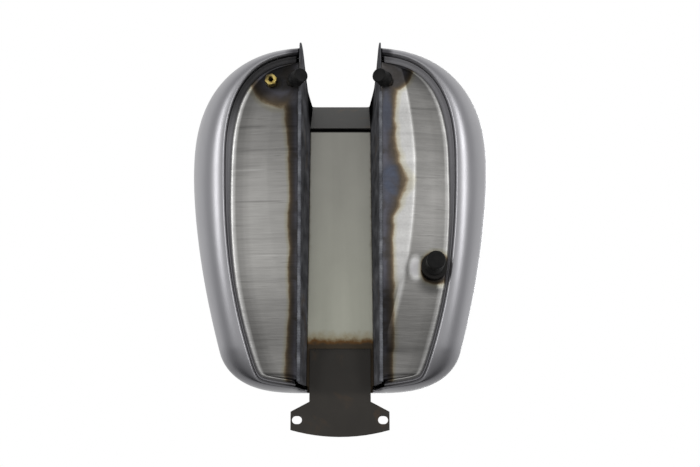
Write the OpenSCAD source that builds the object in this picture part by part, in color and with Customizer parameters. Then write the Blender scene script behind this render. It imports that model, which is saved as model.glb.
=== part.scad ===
// One-piece motorcycle fuel tank: two pressed steel lobes joined over a frame tunnel.
// Frame: +Z up, -Y towards the nose, +X to the rider's left.
// The origin is midway between the two bolt holes, on the lower face of the rear tab.

/* [Body] */
// Half width of the body at its widest station
body_half_w = 200; // [194:1:206]
// Distance of the widest station ahead of the bolt holes
widest_y = 335; // [328:1:342]
// Distance of the nose ahead of the bolt holes
nose_y = 502; // [496:1:508]
// Distance of the tail edge ahead of the bolt holes
tail_y = 36; // [35:0.5:38]
// Height of the ridge of the top skin
top_z = 100; // [92:1:108]
// Fall of the ridge from its highest point to the front ears
nose_drop = 44; // [38:1:50]
// Fall of the ridge from its highest point to the tail
tail_drop = 78; // [72:1:80]
// Thickness of the pressed sheet
sheet = 1.6; // [1.2:0.1:2]

/* [Seam] */
// Half width of the rolled lower edge at the widest station
seam_half_w = 157; // [153:1:161]
// Front end of the rolled lower edge
seam_nose_y = 484; // [480:1:488]
// Rear end of the rolled lower edge
seam_tail_y = 39; // [38:0.5:40]
// Radius of the rolled lower edge
roll_r = 3.5; // [3:0.5:5]
// Width of the groove between shell and pan at the nose
groove_nose_w = 13.5; // [12:0.5:15]
// Width of the groove between shell and pan at the tail
groove_tail_w = 7.5; // [7:0.5:9]
// Depth of the groove above the edge of the pan
groove_depth = 5; // [4.5:0.5:6]

/* [Pans] */
// Depth of the tunnel mouth below the bolt plane at the nose
pan_nose_drop = 90; // [86:1:94]
// Depth of the tunnel mouth below the bolt plane at the tail
pan_tail_drop = 25; // [23:1:28]
// Rise of the pan from the tunnel mouth to its rim
pan_rise = 10; // [8:0.5:12]
// Radius of the turned-up rim of the pan
rim_r = 4; // [3:0.5:5]
// Depth of the pressed crease in the pan on the rider's left
crease_drop = 6; // [4:0.5:7]

/* [Tunnel] */
// Half width of the tunnel mouth
mouth_half_w = 53; // [51:0.5:54]
// Half width of the roof at the tail
roof_tail_w = 45; // [44:0.5:46]
// Half width of the roof at its front edge
roof_nose_w = 42; // [41:0.5:43]
// Front edge of the roof
roof_y = 402; // [396:1:408]
// Root of the notch in the top skin
notch_y = 458; // [454:1:462]
// Half width of the notch at its mouth
notch_w = 51; // [50:0.5:51.5]
// Reach of the front ears past the shells
ear = 8; // [6:0.5:9]
// Height of the weld beads along the tunnel mouth
bead_r = 2.8; // [2:0.2:3.2]

/* [Tab] */
// Thickness of the rear tab
tab_t = 3; // [2.5:0.5:4]
// Distance between the centres of the bolt slots
slot_pitch = 113; // [108:1:116]
// Length of a bolt slot
slot_l = 13; // [11.5:0.5:14]
// Width of a bolt slot
slot_w = 10.5; // [8.5:0.5:11]
// Half width of the neck of the tab
tab_neck_w = 40.5; // [38:0.5:41]
// Metal left beside the bolt slots at the tips of the wings
tab_margin = 2; // [1.5:0.5:5]
// Front edge of the tab
tab_front_y = 91; // [86:1:96]
// Rear edge of the tab on the centre line
tab_rear_y = 22; // [20:1:24]

/* [Outlets] */
// Distance of the petcock outlet inside the rolled lower edge
petcock_in = 25; // [24.5:0.5:32]
// Distance of the petcock outlet ahead of the bolt holes
petcock_y = 196; // [190:1:202]
// Diameter of the petcock spigot
spigot_d = 21.8; // [20:0.2:23]
// Bore of the petcock spigot
spigot_bore = 14; // [12:0.5:15]
// Length of the petcock outlet below the pan
spigot_l = 44; // [40:1:48]
// Distance of the crossover stubs from the centre line at the pan
stub_x = 64; // [63.5:0.5:66]
// Distance of the crossover stubs ahead of the bolt holes
stub_y = 440; // [436:1:444]
// Inward lean of the crossover stubs from the vertical
stub_lean = 28; // [24:1:30]
// Diameter of the crossover stubs
stub_d = 12.7; // [11:0.1:13.5]
// Bore of the crossover stubs
stub_bore = 8; // [6:0.5:9]
// Length of the crossover stubs below the pan
stub_l = 25; // [23:1:28]
// Wall thickness of the crossover caps
cap_wall = 3.2; // [2.4:0.2:3.6]
// Wall thickness of the petcock cap
petcock_cap_wall = 1; // [0.8:0.1:1.6]
// Distance of the vent fitting from the centre line
vent_x = 92; // [88:1:96]
// Distance of the vent fitting ahead of the bolt holes
vent_y = 440; // [436:1:444]
// Diameter of the vent fitting
vent_d = 17; // [14:0.5:18]
// Bore of the vent fitting
vent_bore = 6; // [5:0.5:7]

/* [Fillers] */
// Distance of the fillers from the centre line
filler_x = 86; // [82:1:90]
// Distance of the fillers ahead of the bolt holes
filler_y = 335; // [328:1:342]
// Bore of the filler necks
filler_bore = 55; // [52:0.5:57]
// Height of the seat of the filler necks
filler_z = 104; // [103:0.5:107]
// Depth of the filler necks below the seat
filler_depth = 30; // [28:1:34]
// Diameter of the filler caps
filler_cap_d = 72; // [70:1:76]
// Height of the filler caps above their gaskets
filler_cap_h = 13; // [11:0.5:16]
// Thickness of the cap gaskets
gasket_t = 2.5; // [2:0.5:3]

/* [Hidden] */

$fn = 64;
fit = 0.15;            // gap between pieces that are welded or seated together
nose_px = 3.2;         // roundness of the nose across the body
nose_py = 2.45;        // roundness of the nose along the body
tail_px = 5;           // roundness of the tail corners across the body
tail_py = 2.2;         // roundness of the tail corners along the body
side_taper = 56;       // narrowing of the sides towards the tail
side_curve = 1.7;      // how late the sides narrow
corner_at = 0.82;      // share of the rear length at which the tail corners begin
crown = 2.3;           // squareness of the upper section
belly = 1.8;           // squareness of the lower section
arch_at = 2.8;         // station at which the tail meets the tunnel
arch_u = 2.84;         // station from which the tail lies on the tunnel roof
arch_x = 58;           // half width of the tail between the lobes
roof_z = tab_t;        // underside of the tunnel roof
widest_nose_z = -15;   // height of the widest line at the nose
widest_tail_z = 2;     // height of the widest line at the tail
tail_rise = 6;         // lift of the tail where it passes over the tunnel
tail_rise_at = 2.4;    // station at which the tail begins to lift
seam_taper = 50;       // narrowing of the rolled edge towards the tail
seam_curve = 2.4;      // how late the rolled edge narrows
seam_corner_y = 46;    // tail corners of the rolled edge
corner_pull = 4;       // sharpness of those corners
seam_rise = 6;         // the rolled edge lies this far above the tunnel mouth
roll_h = 14;           // height of the turned-in edge above the bottom of the roll
edge_gap = 0.4;        // gap between the shells and the tunnel walls
notch_root_w = roof_nose_w - 1;
wall_out = sheet + fit;
groove_top = pan_rise + groove_depth;
ridge_y = 340;         // station of the highest point of the ridge
ridge_mid_y = 110;     // station of the ridge above the tail corners
ridge_end_y = 62;      // rear end of the ridge
ridge_nose_p = 2.2;    // how late the ridge falls to the nose
ridge_tail_p = 2;      // how late the ridge falls to the tail
ear_y = nose_y - 20;   // front end of the top skin beside the notch
bare_steel = "#a2a3a6";
ground_steel = "#8c8b89";
burnt_steel = "#5a5a60";
dark_steel = "#3d3b39";
black_rubber = "#1b1b1d";
brass = "#c9ab4c";
chrome = "#d4d6da";

function lerp(a, b, t) = a + (b - a) * t;
function flat(rows) = [for (r = rows) each r];
function unit(v) = v / norm(v);
function within(t) = max(0, min(1, t));
function ease(t) = t * t * (3 - 2 * t);

// Widest outline of the body seen from above, from the nose (0) round to the tail centre (3)
nose_x = (mouth_half_w + notch_w) / 2 + wall_out + edge_gap;
nose_angle = acos(pow(nose_x / body_half_w, nose_px / 2));
tail_angle = acos(pow(arch_x / (body_half_w - side_taper), tail_px / 2));
function side_x(e) = body_half_w - side_taper * pow(e, side_curve);
function rear_y(e) = -widest_y + e * (widest_y - tail_y);
function nose_pt(a) = [
    body_half_w * pow(cos(a), 2 / nose_px),
    -widest_y - (nose_y - widest_y) * pow(sin(a), 2 / nose_py)
];
function tail_pt(a) =
    let (e = lerp(corner_at, 1, pow(sin(a), 2 / tail_py)))
    [side_x(e) * pow(cos(a), 2 / tail_px), rear_y(e)];
function outline(u) =
    u < 1 ? nose_pt(nose_angle * (1 - u))
    : u < 2 ? [side_x(corner_at * (u - 1)), rear_y(corner_at * (u - 1))]
    : u < arch_at ? tail_pt(tail_angle * (u - 2) / (arch_at - 2))
    : let (t = (u - arch_at) / (3 - arch_at), p = tail_pt(tail_angle))
      [p.x * (1 - t), lerp(p.y, -tail_y, t)];

// Inward normal of an outline at a station
step_u = 0.01;
function seam_normal(u) =
    let (a = seam_xy(max(0, u - step_u)), b = seam_xy(min(arch_at, u + step_u)), d = unit(b - a))
    [-d.y, d.x];
function outline_normal(u) =
    u >= arch_at ? [0, -1]
    : let (d = unit(outline(u + step_u) - outline(max(0, u - step_u)))) [-d.y, d.x];

// Rolled lower edge of the shell seen from above: round the nose, straight in to the tail corner
seam_x0 = mouth_half_w + wall_out + edge_gap;
seam_l = widest_y - seam_tail_y;
function seam_side_x(y) = seam_half_w - seam_taper * pow((y + widest_y) / seam_l, seam_curve);
function seam_side(e) = let (y = -widest_y + e * seam_l) [seam_side_x(y), y];
seam_turn = seam_side(corner_at);
turn_slope = seam_taper * seam_curve * pow(corner_at, seam_curve - 1) / seam_l;
seam_corner = [seam_turn.x + turn_slope * (seam_corner_y + seam_turn.y), -seam_corner_y];
seam_end = [seam_x0, -seam_tail_y];
function conic(a, c, b, t, pull) =
    let (p = (1 - t) * (1 - t), q = 2 * pull * t * (1 - t), r = t * t)
    (a * p + c * q + b * r) / (p + q + r);
function seam_nose(m) = [
    seam_x0 + (m.x - nose_x) * (seam_half_w - seam_x0) / (body_half_w - nose_x),
    -widest_y + (m.y + widest_y) * (seam_nose_y - widest_y) / (nose_y - widest_y)
];
function seam_xy(u) =
    u < 1 ? seam_nose(outline(u))
    : u < 2 ? seam_side(corner_at * (u - 1))
    : conic(seam_turn, seam_corner, seam_end, within((u - 2) / (arch_at - 2)), corner_pull);

// Heights along the body; towards the tunnel the tail lifts to clear the roof
function tail_lift(u) = tail_rise * ease(within((u - tail_rise_at) / (arch_at - tail_rise_at)));
function along(y) = (-y - seam_tail_y) / (seam_nose_y - seam_tail_y);
function pan_z(y) = -lerp(pan_tail_drop, pan_nose_drop, along(y));
function widest_z(y) = lerp(widest_tail_z, widest_nose_z, (-y - tail_y) / (nose_y - tail_y));
function ridge_z(y) = top_z - (y < -ridge_y
    ? nose_drop * pow((-y - ridge_y) / (ear_y - ridge_y), ridge_nose_p)
    : tail_drop * pow((y + ridge_y) / (ridge_y - ridge_end_y), ridge_tail_p));

// Half width of the tunnel between its walls, from the mouth (0) to the upper edge (1)
function upper_w(y) =
    y > -roof_y ? lerp(roof_tail_w, roof_nose_w, (-y - tail_y) / (roof_y - tail_y))
    : y > -notch_y ? lerp(roof_nose_w, notch_root_w, (-y - roof_y) / (notch_y - roof_y))
    : lerp(notch_root_w, notch_w, (-y - notch_y) / (ear_y - notch_y));
function upper_z(y) =
    y > -roof_y - 1 ? roof_z
    : y > -notch_y ? lerp(roof_z, ridge_z(-notch_y), (-y - roof_y) / (notch_y - roof_y))
    : ridge_z(y);

// Upper edge of a shell: notch side, notch root, then the centre line to the tail
notch_root_u = 1 / 2;
notch_end_u = 2 / 3;
function top_xy(u) =
    u <= notch_root_u ? let (y = lerp(-ear_y, -notch_y, u / notch_root_u)) [upper_w(y) + wall_out, y]
    : u <= notch_end_u ? let (t = (u - notch_root_u) / (notch_end_u - notch_root_u))
        [(notch_root_w + wall_out) * (1 - t), -notch_y]
    : u <= 1 ? [0, lerp(-notch_y, -widest_y, (u - notch_end_u) / (1 - notch_end_u))]
    : u <= 2 ? [0, -lerp(widest_y, ridge_mid_y, u - 1)]
    : [0, -lerp(ridge_mid_y, ridge_end_y, u - 2)];

function ellipse_h(a, n) = 1 - pow(max(0, cos(a)), 2 / n);
function ellipse_v(a, n) = pow(max(0, sin(a)), 2 / n);
function blend(p, q, a, n) = [
    lerp(p.x, q.x, ellipse_h(a, n)),
    lerp(p.y, q.y, ellipse_h(a, n)),
    lerp(p.z, q.z, ellipse_v(a, n))
];

// Points of a shell at station u and inset d: widest line, top edge and lower edge
function widest_pt(u, d) =
    let (m = outline(u), n = outline_normal(u), x = m.x + n.x * d)
    [u == 0 ? m.x : u == 3 ? 0 : x, m.y + n.y * d, widest_z(m.y) + tail_lift(u)];
function top_pt(u, d) = let (p = top_xy(u)) [p.x, p.y, ridge_z(p.y) - d];
function lower_pt(u, d) =
    u > arch_at ? [
        lerp(upper_w(-tail_y) + 2, 0, (u - arch_u) / (3 - arch_u)),
        -seam_tail_y,
        roof_z + sheet + fit + d
    ]
    : let (p = seam_xy(u)) [p.x, p.y, pan_z(p.y) + seam_rise + d];
function roll_at(u) = u < arch_at ? roll_r : sheet + 0.2;
function roll_h_at(u) = u < arch_at ? roll_h : sheet + 0.4;
function roll_pt(u, a, d) =
    let (p = lower_pt(u, 0), n = u < arch_at ? seam_normal(u) : [0, -1], r = roll_at(u))
    [
        u == 0 ? p.x : p.x + n.x * (r - d) * sin(a),
        p.y + n.y * (r - d) * sin(a),
        p.z + r - (r - d) * cos(a)
    ];
function roll_end(u, d) = let (p = roll_pt(u, 90, d)) [p.x, p.y, lower_pt(u, 0).z + roll_h_at(u)];

nose_n = 12;
side_n = 7;
tail_n = 10;
nose_stations = [for (i = [1 : nose_n - 1]) i / nose_n];
pan_start_u = 0.012;   // station at which the pan clears the tunnel wall
rear_stations = [
    for (i = [0 : side_n - 1]) 1 + i / side_n,
    for (i = [0 : tail_n]) 2 + (arch_at - 2) * i / tail_n
];
pan_stations = concat([pan_start_u], nose_stations, rear_stations);
shell_stations = concat([0], nose_stations, rear_stations, [arch_u, (arch_u + 3) / 2, 3]);
crown_rows = [for (i = [0 : 9]) 90 - 10 * i];
belly_rows = [for (i = [1 : 6]) 15 * i];
roll_rows = [30, 60, 90];
function shell_grid(d) = concat(
    [for (a = crown_rows) [for (u = shell_stations) blend(widest_pt(u, d), top_pt(u, d), a, crown)]],
    [for (a = belly_rows) [for (u = shell_stations) blend(widest_pt(u, d), lower_pt(u, d), a, belly)]],
    [for (a = roll_rows) [for (u = shell_stations) roll_pt(u, a, d)]],
    [[for (u = shell_stations) roll_end(u, d)]]
);

// Solid between two point grids of the same size
module skin(outside, inside) {
    rows = len(outside);
    cols = len(outside[0]);
    half = rows * cols;
    function at(i, j, s) = s * half + i * cols + j;
    function strip(a, b, c, d) = [[a, b, c], [a, c, d]];
    faces = flat([
        for (i = [0 : rows - 2]) for (j = [0 : cols - 2])
            strip(at(i, j, 0), at(i, j + 1, 0), at(i + 1, j + 1, 0), at(i + 1, j, 0)),
        for (i = [0 : rows - 2]) for (j = [0 : cols - 2])
            strip(at(i, j, 1), at(i + 1, j, 1), at(i + 1, j + 1, 1), at(i, j + 1, 1)),
        for (j = [0 : cols - 2])
            strip(at(0, j, 0), at(0, j, 1), at(0, j + 1, 1), at(0, j + 1, 0)),
        for (j = [0 : cols - 2])
            strip(at(rows - 1, j, 0), at(rows - 1, j + 1, 0), at(rows - 1, j + 1, 1), at(rows - 1, j, 1)),
        for (i = [0 : rows - 2])
            strip(at(i, 0, 0), at(i + 1, 0, 0), at(i + 1, 0, 1), at(i, 0, 1)),
        for (i = [0 : rows - 2])
            strip(at(i, cols - 1, 0), at(i, cols - 1, 1), at(i + 1, cols - 1, 1), at(i + 1, cols - 1, 0))
    ]);
    polyhedron(points = concat(flat(outside), flat(inside)), faces = faces, convexity = 10);
}

// Outer skin of one lobe, pressed in one piece, with its filler hole
neck_wall = 3.5;       // wall of the filler necks
filler_d = filler_bore + 2 * neck_wall;
module shell_half() {
    difference() {
        skin(shell_grid(0), shell_grid(sheet));
        translate([filler_x, -filler_y, 0])
            cylinder(d = filler_d + 2 * fit, h = top_z + 40);
    }
}
module left_shell() { color(bare_steel) shell_half(); }
module right_shell() { color(bare_steel) mirror([1, 0, 0]) shell_half(); }

// Bottom pan of one lobe: floor, turned-up rim and the flange that closes the groove
groove_from = 0.3;     // share of the length at which the groove begins to widen
groove_to = 0.8;       // share of the length at which it has its full width
function groove_share(u) = within((along(seam_xy(u).y) - groove_from) / (groove_to - groove_from));
function groove_w(u) = lerp(groove_tail_w, groove_nose_w, groove_share(u));
pan_x0 = mouth_half_w + wall_out;
rim_tip_w = 4;         // width of the pan at its pointed ends
pillow = 0.8;          // slight bulge of the pan without a crease
through = 90;          // length of a cut that goes right through a pan
crease_mid_x = 96;     // crease at the widest station
crease_nose_in = 12;   // how far the crease comes in towards the nose
crease_nose_p = 1.5;   // how late it does so
crease_tail_in = 42;   // how far the crease comes in towards the tail
crease_tail_p = 2.1;   // how late it does so
crease_end_y = 85;     // rear end of the crease
crease_min_w = 8;      // least distance of the crease from the tunnel wall
crease_fade = 0.6;     // how late the crease fades out at its ends
function rim_xy(u, in) =
    let (p = seam_xy(u) + seam_normal(u) * (groove_w(u) + in))
    [max(p.x, pan_x0 + rim_tip_w), p.y];
function floor_z(y) = pan_z(y) + pan_rise;
function crease_x(y) = crease_mid_x - (y < -widest_y
    ? crease_nose_in * pow((-y - widest_y) / (stub_y - widest_y), crease_nose_p)
    : crease_tail_in * pow((y + widest_y) / (widest_y - crease_end_y), crease_tail_p));
function crease_share(w, y) = min(0.75, max(crease_min_w, crease_x(y) - pan_x0) / w);
function pan_fold(y) =
    pow(max(0, sin(180 * within((-y - crease_end_y) / (seam_nose_y - crease_end_y)))), crease_fade);
function floor_pt(u, t, fold, d) =
    let (
        r = rim_xy(u, rim_r),
        c = crease_share(r.x - pan_x0, r.y),
        s = t < 0.5 ? lerp(0, c, t * 2) : lerp(c, 1, t * 2 - 1),
        dip = fold * pan_fold(r.y) * (1 - abs(t * 2 - 1))
    )
    [lerp(pan_x0, r.x, s), r.y, lerp(pan_z(r.y), floor_z(r.y), s) - dip + d];
function rim_pt(u, a, d) =
    let (o = rim_xy(u, rim_r), n = seam_normal(u), r = rim_r - d, z = floor_z(o.y) + rim_r)
    [max(pan_x0 + rim_tip_w, o.x - n.x * r * sin(a)), o.y - n.y * r * sin(a), z - r * cos(a)];
function rim_top(u, d) =
    let (p = rim_pt(u, 90, d)) [p.x, p.y, pan_z(rim_xy(u, rim_r).y) + groove_top + d];
function flange_pt(u, d) =
    let (p = seam_xy(u) + seam_normal(u) * (roll_at(u) + 2 * fit))
    [max(pan_x0 + rim_tip_w, p.x), p.y, pan_z(rim_xy(u, rim_r).y) + groove_top + d];
floor_rows = [0, 0.17, 0.34, 0.5, 0.66, 0.83, 1];
function pan_grid(fold, d) = concat(
    [[for (u = pan_stations) flange_pt(u, d)]],
    [[for (u = pan_stations) rim_top(u, d)]],
    [for (a = [90, 60, 30]) [for (u = pan_stations) rim_pt(u, a, d)]],
    [for (i = [0 : len(floor_rows) - 1])
        [for (u = pan_stations) floor_pt(u, floor_rows[len(floor_rows) - 1 - i], fold, d)]]
);
module stub_hole() {
    at_stub() translate([0, 0, -through / 2]) cylinder(d = stub_d + 2 * fit, h = through);
}
module left_pan() {
    color(ground_steel) difference() {
        skin(pan_grid(crease_drop, 0), pan_grid(crease_drop, sheet));
        translate([petcock_x, -petcock_y, -through]) cylinder(d = collar_d + 2 * fit, h = through);
        stub_hole();
    }
}
module right_pan() {
    color(ground_steel) difference() {
        mirror([1, 0, 0]) skin(pan_grid(pillow, 0), pan_grid(pillow, sheet));
        translate([-vent_x, -vent_y, vent_z - through / 2]) cylinder(d = vent_stem_d + 2 * fit, h = through);
        mirror([1, 0, 0]) stub_hole();
    }
}

// Upright wall of the tunnel, reaching up to the top skin beside the notch and ending in an ear
edge_rows = [for (a = [90, 60, 35, 15, 0]) lower_pt_edge(a)];
function lower_pt_edge(a) = blend(widest_pt(0, 0), lower_pt(0, 0), a, belly);
wall_edge = concat(edge_rows, [top_pt(0, 0)]);
wall_low = wall_edge[0].z;
wall_high = wall_edge[5].z;
wall_share = [for (p = wall_edge) (p.z - wall_low) / (wall_high - wall_low)];
wall_below = 0.5;      // reach of the walls below the pans
roof_end_y = roof_y + 0.5;
wall_end_y = seam_tail_y + 6;
wall_stations = [
    notch_y,
    (notch_y + roof_end_y) / 2,
    for (i = [0 : 4]) lerp(roof_end_y, wall_end_y, i / 4)
];
foot_y = concat([(seam_nose_y + notch_y) / 2], wall_stations);
head_y = concat([(ear_y + notch_y) / 2], wall_stations);
module tunnel_wall() {
    function foot(y) = [mouth_half_w, y, pan_z(y) - wall_below];
    function head(y) = [upper_w(y), y, upper_z(y) - (y == -notch_y ? sheet + 2 * fit : 0)];
    function wall_pt(k, j, d) = j < 0
        ? let (p = wall_edge[k]) [lerp(mouth_half_w, notch_w, wall_share[k]) + d, p.y - ear, p.z]
        : let (a = foot(-foot_y[j]), b = head(-head_y[j]), p = lerp(a, b, wall_share[k]))
          [p.x + d, p.y, p.z];
    function wall_grid(d) = [for (k = [0 : 5]) [for (j = [-1 : len(foot_y) - 1]) wall_pt(k, j, d)]];
    skin(wall_grid(sheet), wall_grid(0));
}
module left_tunnel_wall() { color(burnt_steel) tunnel_wall(); }
module right_tunnel_wall() { color(burnt_steel) mirror([1, 0, 0]) tunnel_wall(); }

// Flat roof of the tunnel, lying on the upper edges of the walls
module tunnel_roof() {
    color(ground_steel) translate([0, 0, roof_z + fit / 2]) linear_extrude(sheet) polygon([
        [-roof_nose_w - sheet, -roof_y],
        [roof_nose_w + sheet, -roof_y],
        [roof_tail_w + sheet, -wall_end_y],
        [roof_tail_w - sheet, -wall_end_y],
        [roof_tail_w - sheet, -tail_y],
        [-roof_tail_w + sheet, -tail_y],
        [-roof_tail_w + sheet, -wall_end_y],
        [-roof_tail_w - sheet, -wall_end_y]
    ]);
}

// Sloping plate that closes the tank between the roof and the root of the notch
module neck_plate() {
    low = [roof_nose_w - fit, -roof_y - fit, roof_z + fit];
    high = [notch_root_w - fit, -notch_y + sheet, ridge_z(-notch_y) - sheet - 4 * fit];
    back = sheet * unit([0, high.z - low.z, low.y - high.y]);
    function row(p) = [[p.x, p.y, p.z], [-p.x, p.y, p.z]];
    color(dark_steel) skin(
        [row(high - back), row(low - back)],
        [row(high), row(low)]
    );
}

// Flat tab that bolts the tail of the tank to the frame
slot_shift = (slot_l - slot_w) / 2;
tab_wing_w = slot_pitch / 2 + slot_l / 2 + tab_margin;
module rear_tab() {
    wing_y = 11;
    neck_end_y = 24;
    wing_rear_y = 13;
    sag = tab_rear_y - wing_rear_y;
    arc_r = (tab_wing_w * tab_wing_w + sag * sag) / (2 * sag);
    arc_a = asin(tab_wing_w / arc_r);
    rear_arc = [for (i = [0 : 12]) let (a = lerp(arc_a, -arc_a, i / 12))
        [arc_r * sin(a), tab_rear_y - arc_r * (1 - cos(a))]];
    color(dark_steel) linear_extrude(tab_t - fit) difference() {
        polygon(concat(
            [[-tab_neck_w, -tab_front_y], [tab_neck_w, -tab_front_y]],
            [[tab_neck_w, -neck_end_y], [tab_wing_w, -wing_y]],
            rear_arc,
            [[-tab_wing_w, -wing_y], [-tab_neck_w, -neck_end_y]]
        ));
        for (s = [-1, 1]) translate([s * slot_pitch / 2, 0]) {
            square([slot_l - slot_w, slot_w], center = true);
            for (e = [-1, 1]) translate([e * slot_shift, 0]) circle(d = slot_w);
        }
    }
}

// Weld beads: half-round runs along the tunnel mouth and a fillet across the front of the tab
bead_root = 0.2;       // half width of the bead where it meets the edge of the wall
bead_start_y = stub_y - 14;
bead_end_y = wall_end_y + 2;
bead_stations = [for (i = [0 : 16]) lerp(bead_start_y, bead_end_y, i / 16)];
module tunnel_weld() {
    x = mouth_half_w + sheet / 2;
    function bead_row(a, r) = [for (y = bead_stations)
        [x + r * cos(a), -y, pan_z(-y) - wall_below - fit - r * sin(a)]];
    skin([for (a = [0 : 36 : 180]) bead_row(a, bead_r)], [for (a = [0 : 36 : 180]) bead_row(a, bead_root)]);
}
module left_tunnel_weld() { color(burnt_steel) tunnel_weld(); }
module right_tunnel_weld() { color(burnt_steel) mirror([1, 0, 0]) tunnel_weld(); }
module tab_weld() {
    leg = 4;
    color(burnt_steel) translate([-tab_neck_w, -tab_front_y - fit, roof_z])
        rotate([90, 0, 90]) linear_extrude(2 * tab_neck_w)
            polygon([[0, 0], [0, -tab_t + 0.4], [-leg, 0]]);
}

// Fuel outlet: a thick collar welded into the pan, with a spigot below it
collar_d = 34;
collar_low = 9;
collar_up = 8;
petcock_x = seam_side_x(-petcock_y) - petcock_in;
petcock_z = pan_z(-petcock_y) + 0.8 * pan_rise;
module petcock_bung() {
    color(dark_steel) translate([petcock_x, -petcock_y, petcock_z]) difference() {
        union() {
            translate([0, 0, -spigot_l]) cylinder(d = spigot_d, h = spigot_l);
            translate([0, 0, -collar_low]) cylinder(d = collar_d, h = collar_low + collar_up);
        }
        translate([0, 0, -spigot_l - 1]) cylinder(d = spigot_bore, h = spigot_l + collar_up + 2);
    }
}
module petcock_cap() {
    cap_l = spigot_l - collar_low - fit;
    color(black_rubber) translate([petcock_x, -petcock_y, petcock_z - spigot_l])
        rubber_cap(spigot_d, cap_l, petcock_cap_wall);
}

// Push-on rubber cap: closed end below the tip of the tube, skirt round it
cap_floor = 3;
cap_gap = 0.3;
module rubber_cap(d, l, w) {
    r = d / 2 + cap_gap;
    rotate_extrude() polygon([
        [0, -cap_floor - cap_gap],
        for (a = [0 : 30 : 90]) [r + w - 2 + 2 * sin(a), 2 - cap_floor - cap_gap - 2 * cos(a)],
        [r + w, l - 2],
        [r + w + 0.8, l - 2],
        [r + w + 0.8, l - 0.3],
        [r, l - 0.3],
        [r, -cap_gap],
        [0, -cap_gap]
    ]);
}

// Crossover stubs at the front corners of the tunnel mouth, leaning inwards
stub_z = pan_z(-stub_y) + 1;
stub_up = 9;           // length inside the tank
stub_bare = 9;         // length left bare between pan and cap
module at_stub() {
    translate([stub_x, -stub_y, stub_z]) rotate([0, stub_lean, 0]) children();
}
module crossover_stub() {
    at_stub() difference() {
        translate([0, 0, -stub_l]) cylinder(d = stub_d, h = stub_l + stub_up);
        translate([0, 0, -stub_l - 1]) cylinder(d = stub_bore, h = stub_l + stub_up + 2);
    }
}
module crossover_cap() {
    at_stub() translate([0, 0, -stub_l]) rubber_cap(stub_d, stub_l - stub_bare, cap_wall);
}
module left_crossover_stub() { color(dark_steel) crossover_stub(); }
module right_crossover_stub() { color(dark_steel) mirror([1, 0, 0]) crossover_stub(); }
module left_crossover_cap() { color(black_rubber) crossover_cap(); }
module right_crossover_cap() { color(black_rubber) mirror([1, 0, 0]) crossover_cap(); }

// Brass vent fitting in the right pan and the pipe it carries up to the air space
vent_z = pan_z(-vent_y) + 0.6 * pan_rise;
vent_l = 15;
vent_stem_d = 11;
vent_neck = 3.2;       // length of stem left under the pan
vent_up = 9;           // length of stem inside the tank
pipe_d = 8;
pipe_bore = 5;
pipe_seat = 3;         // height of the pipe's seat above the pan
pipe_top = 48;         // height of the open end of the pipe
module vent_fitting() {
    color(brass) translate([-vent_x, -vent_y, vent_z]) difference() {
        union() {
            translate([0, 0, -vent_l]) cylinder(d = vent_d, h = vent_l - vent_neck);
            translate([0, 0, -vent_neck - 1]) cylinder(d = vent_stem_d, h = vent_neck + 1 + vent_up);
        }
        translate([0, 0, -vent_l - 1]) cylinder(d = vent_bore, h = vent_l + 1 + vent_up);
        translate([0, 0, pipe_seat]) cylinder(d = pipe_d, h = vent_up);
    }
}
module vent_standpipe() {
    pipe_l = pipe_top - vent_z - pipe_seat;
    color(bare_steel) translate([-vent_x, -vent_y, vent_z + pipe_seat]) difference() {
        cylinder(d = pipe_d - 2 * fit, h = pipe_l);
        translate([0, 0, -1]) cylinder(d = pipe_bore, h = pipe_l + 2);
    }
}

// Filler neck let into the top skin, with the screw cap and its gasket
seat_w = 3;            // overhang of the seat round the neck
seat_t = 3;            // thickness of the seat
seat_slope = 2;        // height of the slope under the seat
seat_d = filler_d + 2 * seat_w;
seat_gap = 0.3;        // gap under and over the gasket
gasket_in = 1.5;       // the gasket lies this far outside the bore
gasket_out = 1;        // and this far inside the edge of the seat
module at_filler() { translate([filler_x, -filler_y, filler_z]) children(); }
module filler_neck() {
    at_filler() rotate_extrude() polygon([
        [filler_bore / 2, 0],
        [seat_d / 2, 0],
        [seat_d / 2, -seat_t],
        [filler_d / 2, -seat_t - seat_slope],
        [filler_d / 2, -filler_depth],
        [filler_bore / 2, -filler_depth]
    ]);
}
module cap_gasket() {
    at_filler() rotate_extrude() translate([filler_bore / 2 + gasket_in, seat_gap])
        square([(seat_d - filler_bore) / 2 - gasket_in - gasket_out, gasket_t]);
}
module filler_cap() {
    stem_r = filler_bore / 2 - 0.8;
    stem_l = 14;
    stem_wall = 3;
    r = filler_cap_d / 2;
    low = gasket_t + 2 * seat_gap;
    high = low + filler_cap_h;
    grips = 24;
    grip_d = 5;
    grip_depth = 0.9;
    at_filler() difference() {
        rotate_extrude() polygon([
            [0, high],
            [r * 0.55, high - 1],
            [r - 4, high - 3.5],
            [r - 1, high - 6],
            [r, high - 8],
            [r, low],
            [stem_r, low],
            [stem_r, -stem_l],
            [stem_r - stem_wall, -stem_l],
            [stem_r - stem_wall, low + 2],
            [0, low + 2]
        ]);
        for (i = [0 : grips - 1]) rotate(i * 360 / grips)
            translate([r + grip_d / 2 - grip_depth, 0, low - 1]) cylinder(d = grip_d, h = filler_cap_h);
    }
}
module left_filler_neck() { color(bare_steel) filler_neck(); }
module right_filler_neck() { color(bare_steel) mirror([1, 0, 0]) filler_neck(); }
module left_cap_gasket() { color(black_rubber) cap_gasket(); }
module right_cap_gasket() { color(black_rubber) mirror([1, 0, 0]) cap_gasket(); }
module left_filler_cap() { color(chrome) filler_cap(); }
module right_filler_cap() { color(chrome) mirror([1, 0, 0]) filler_cap(); }

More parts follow.
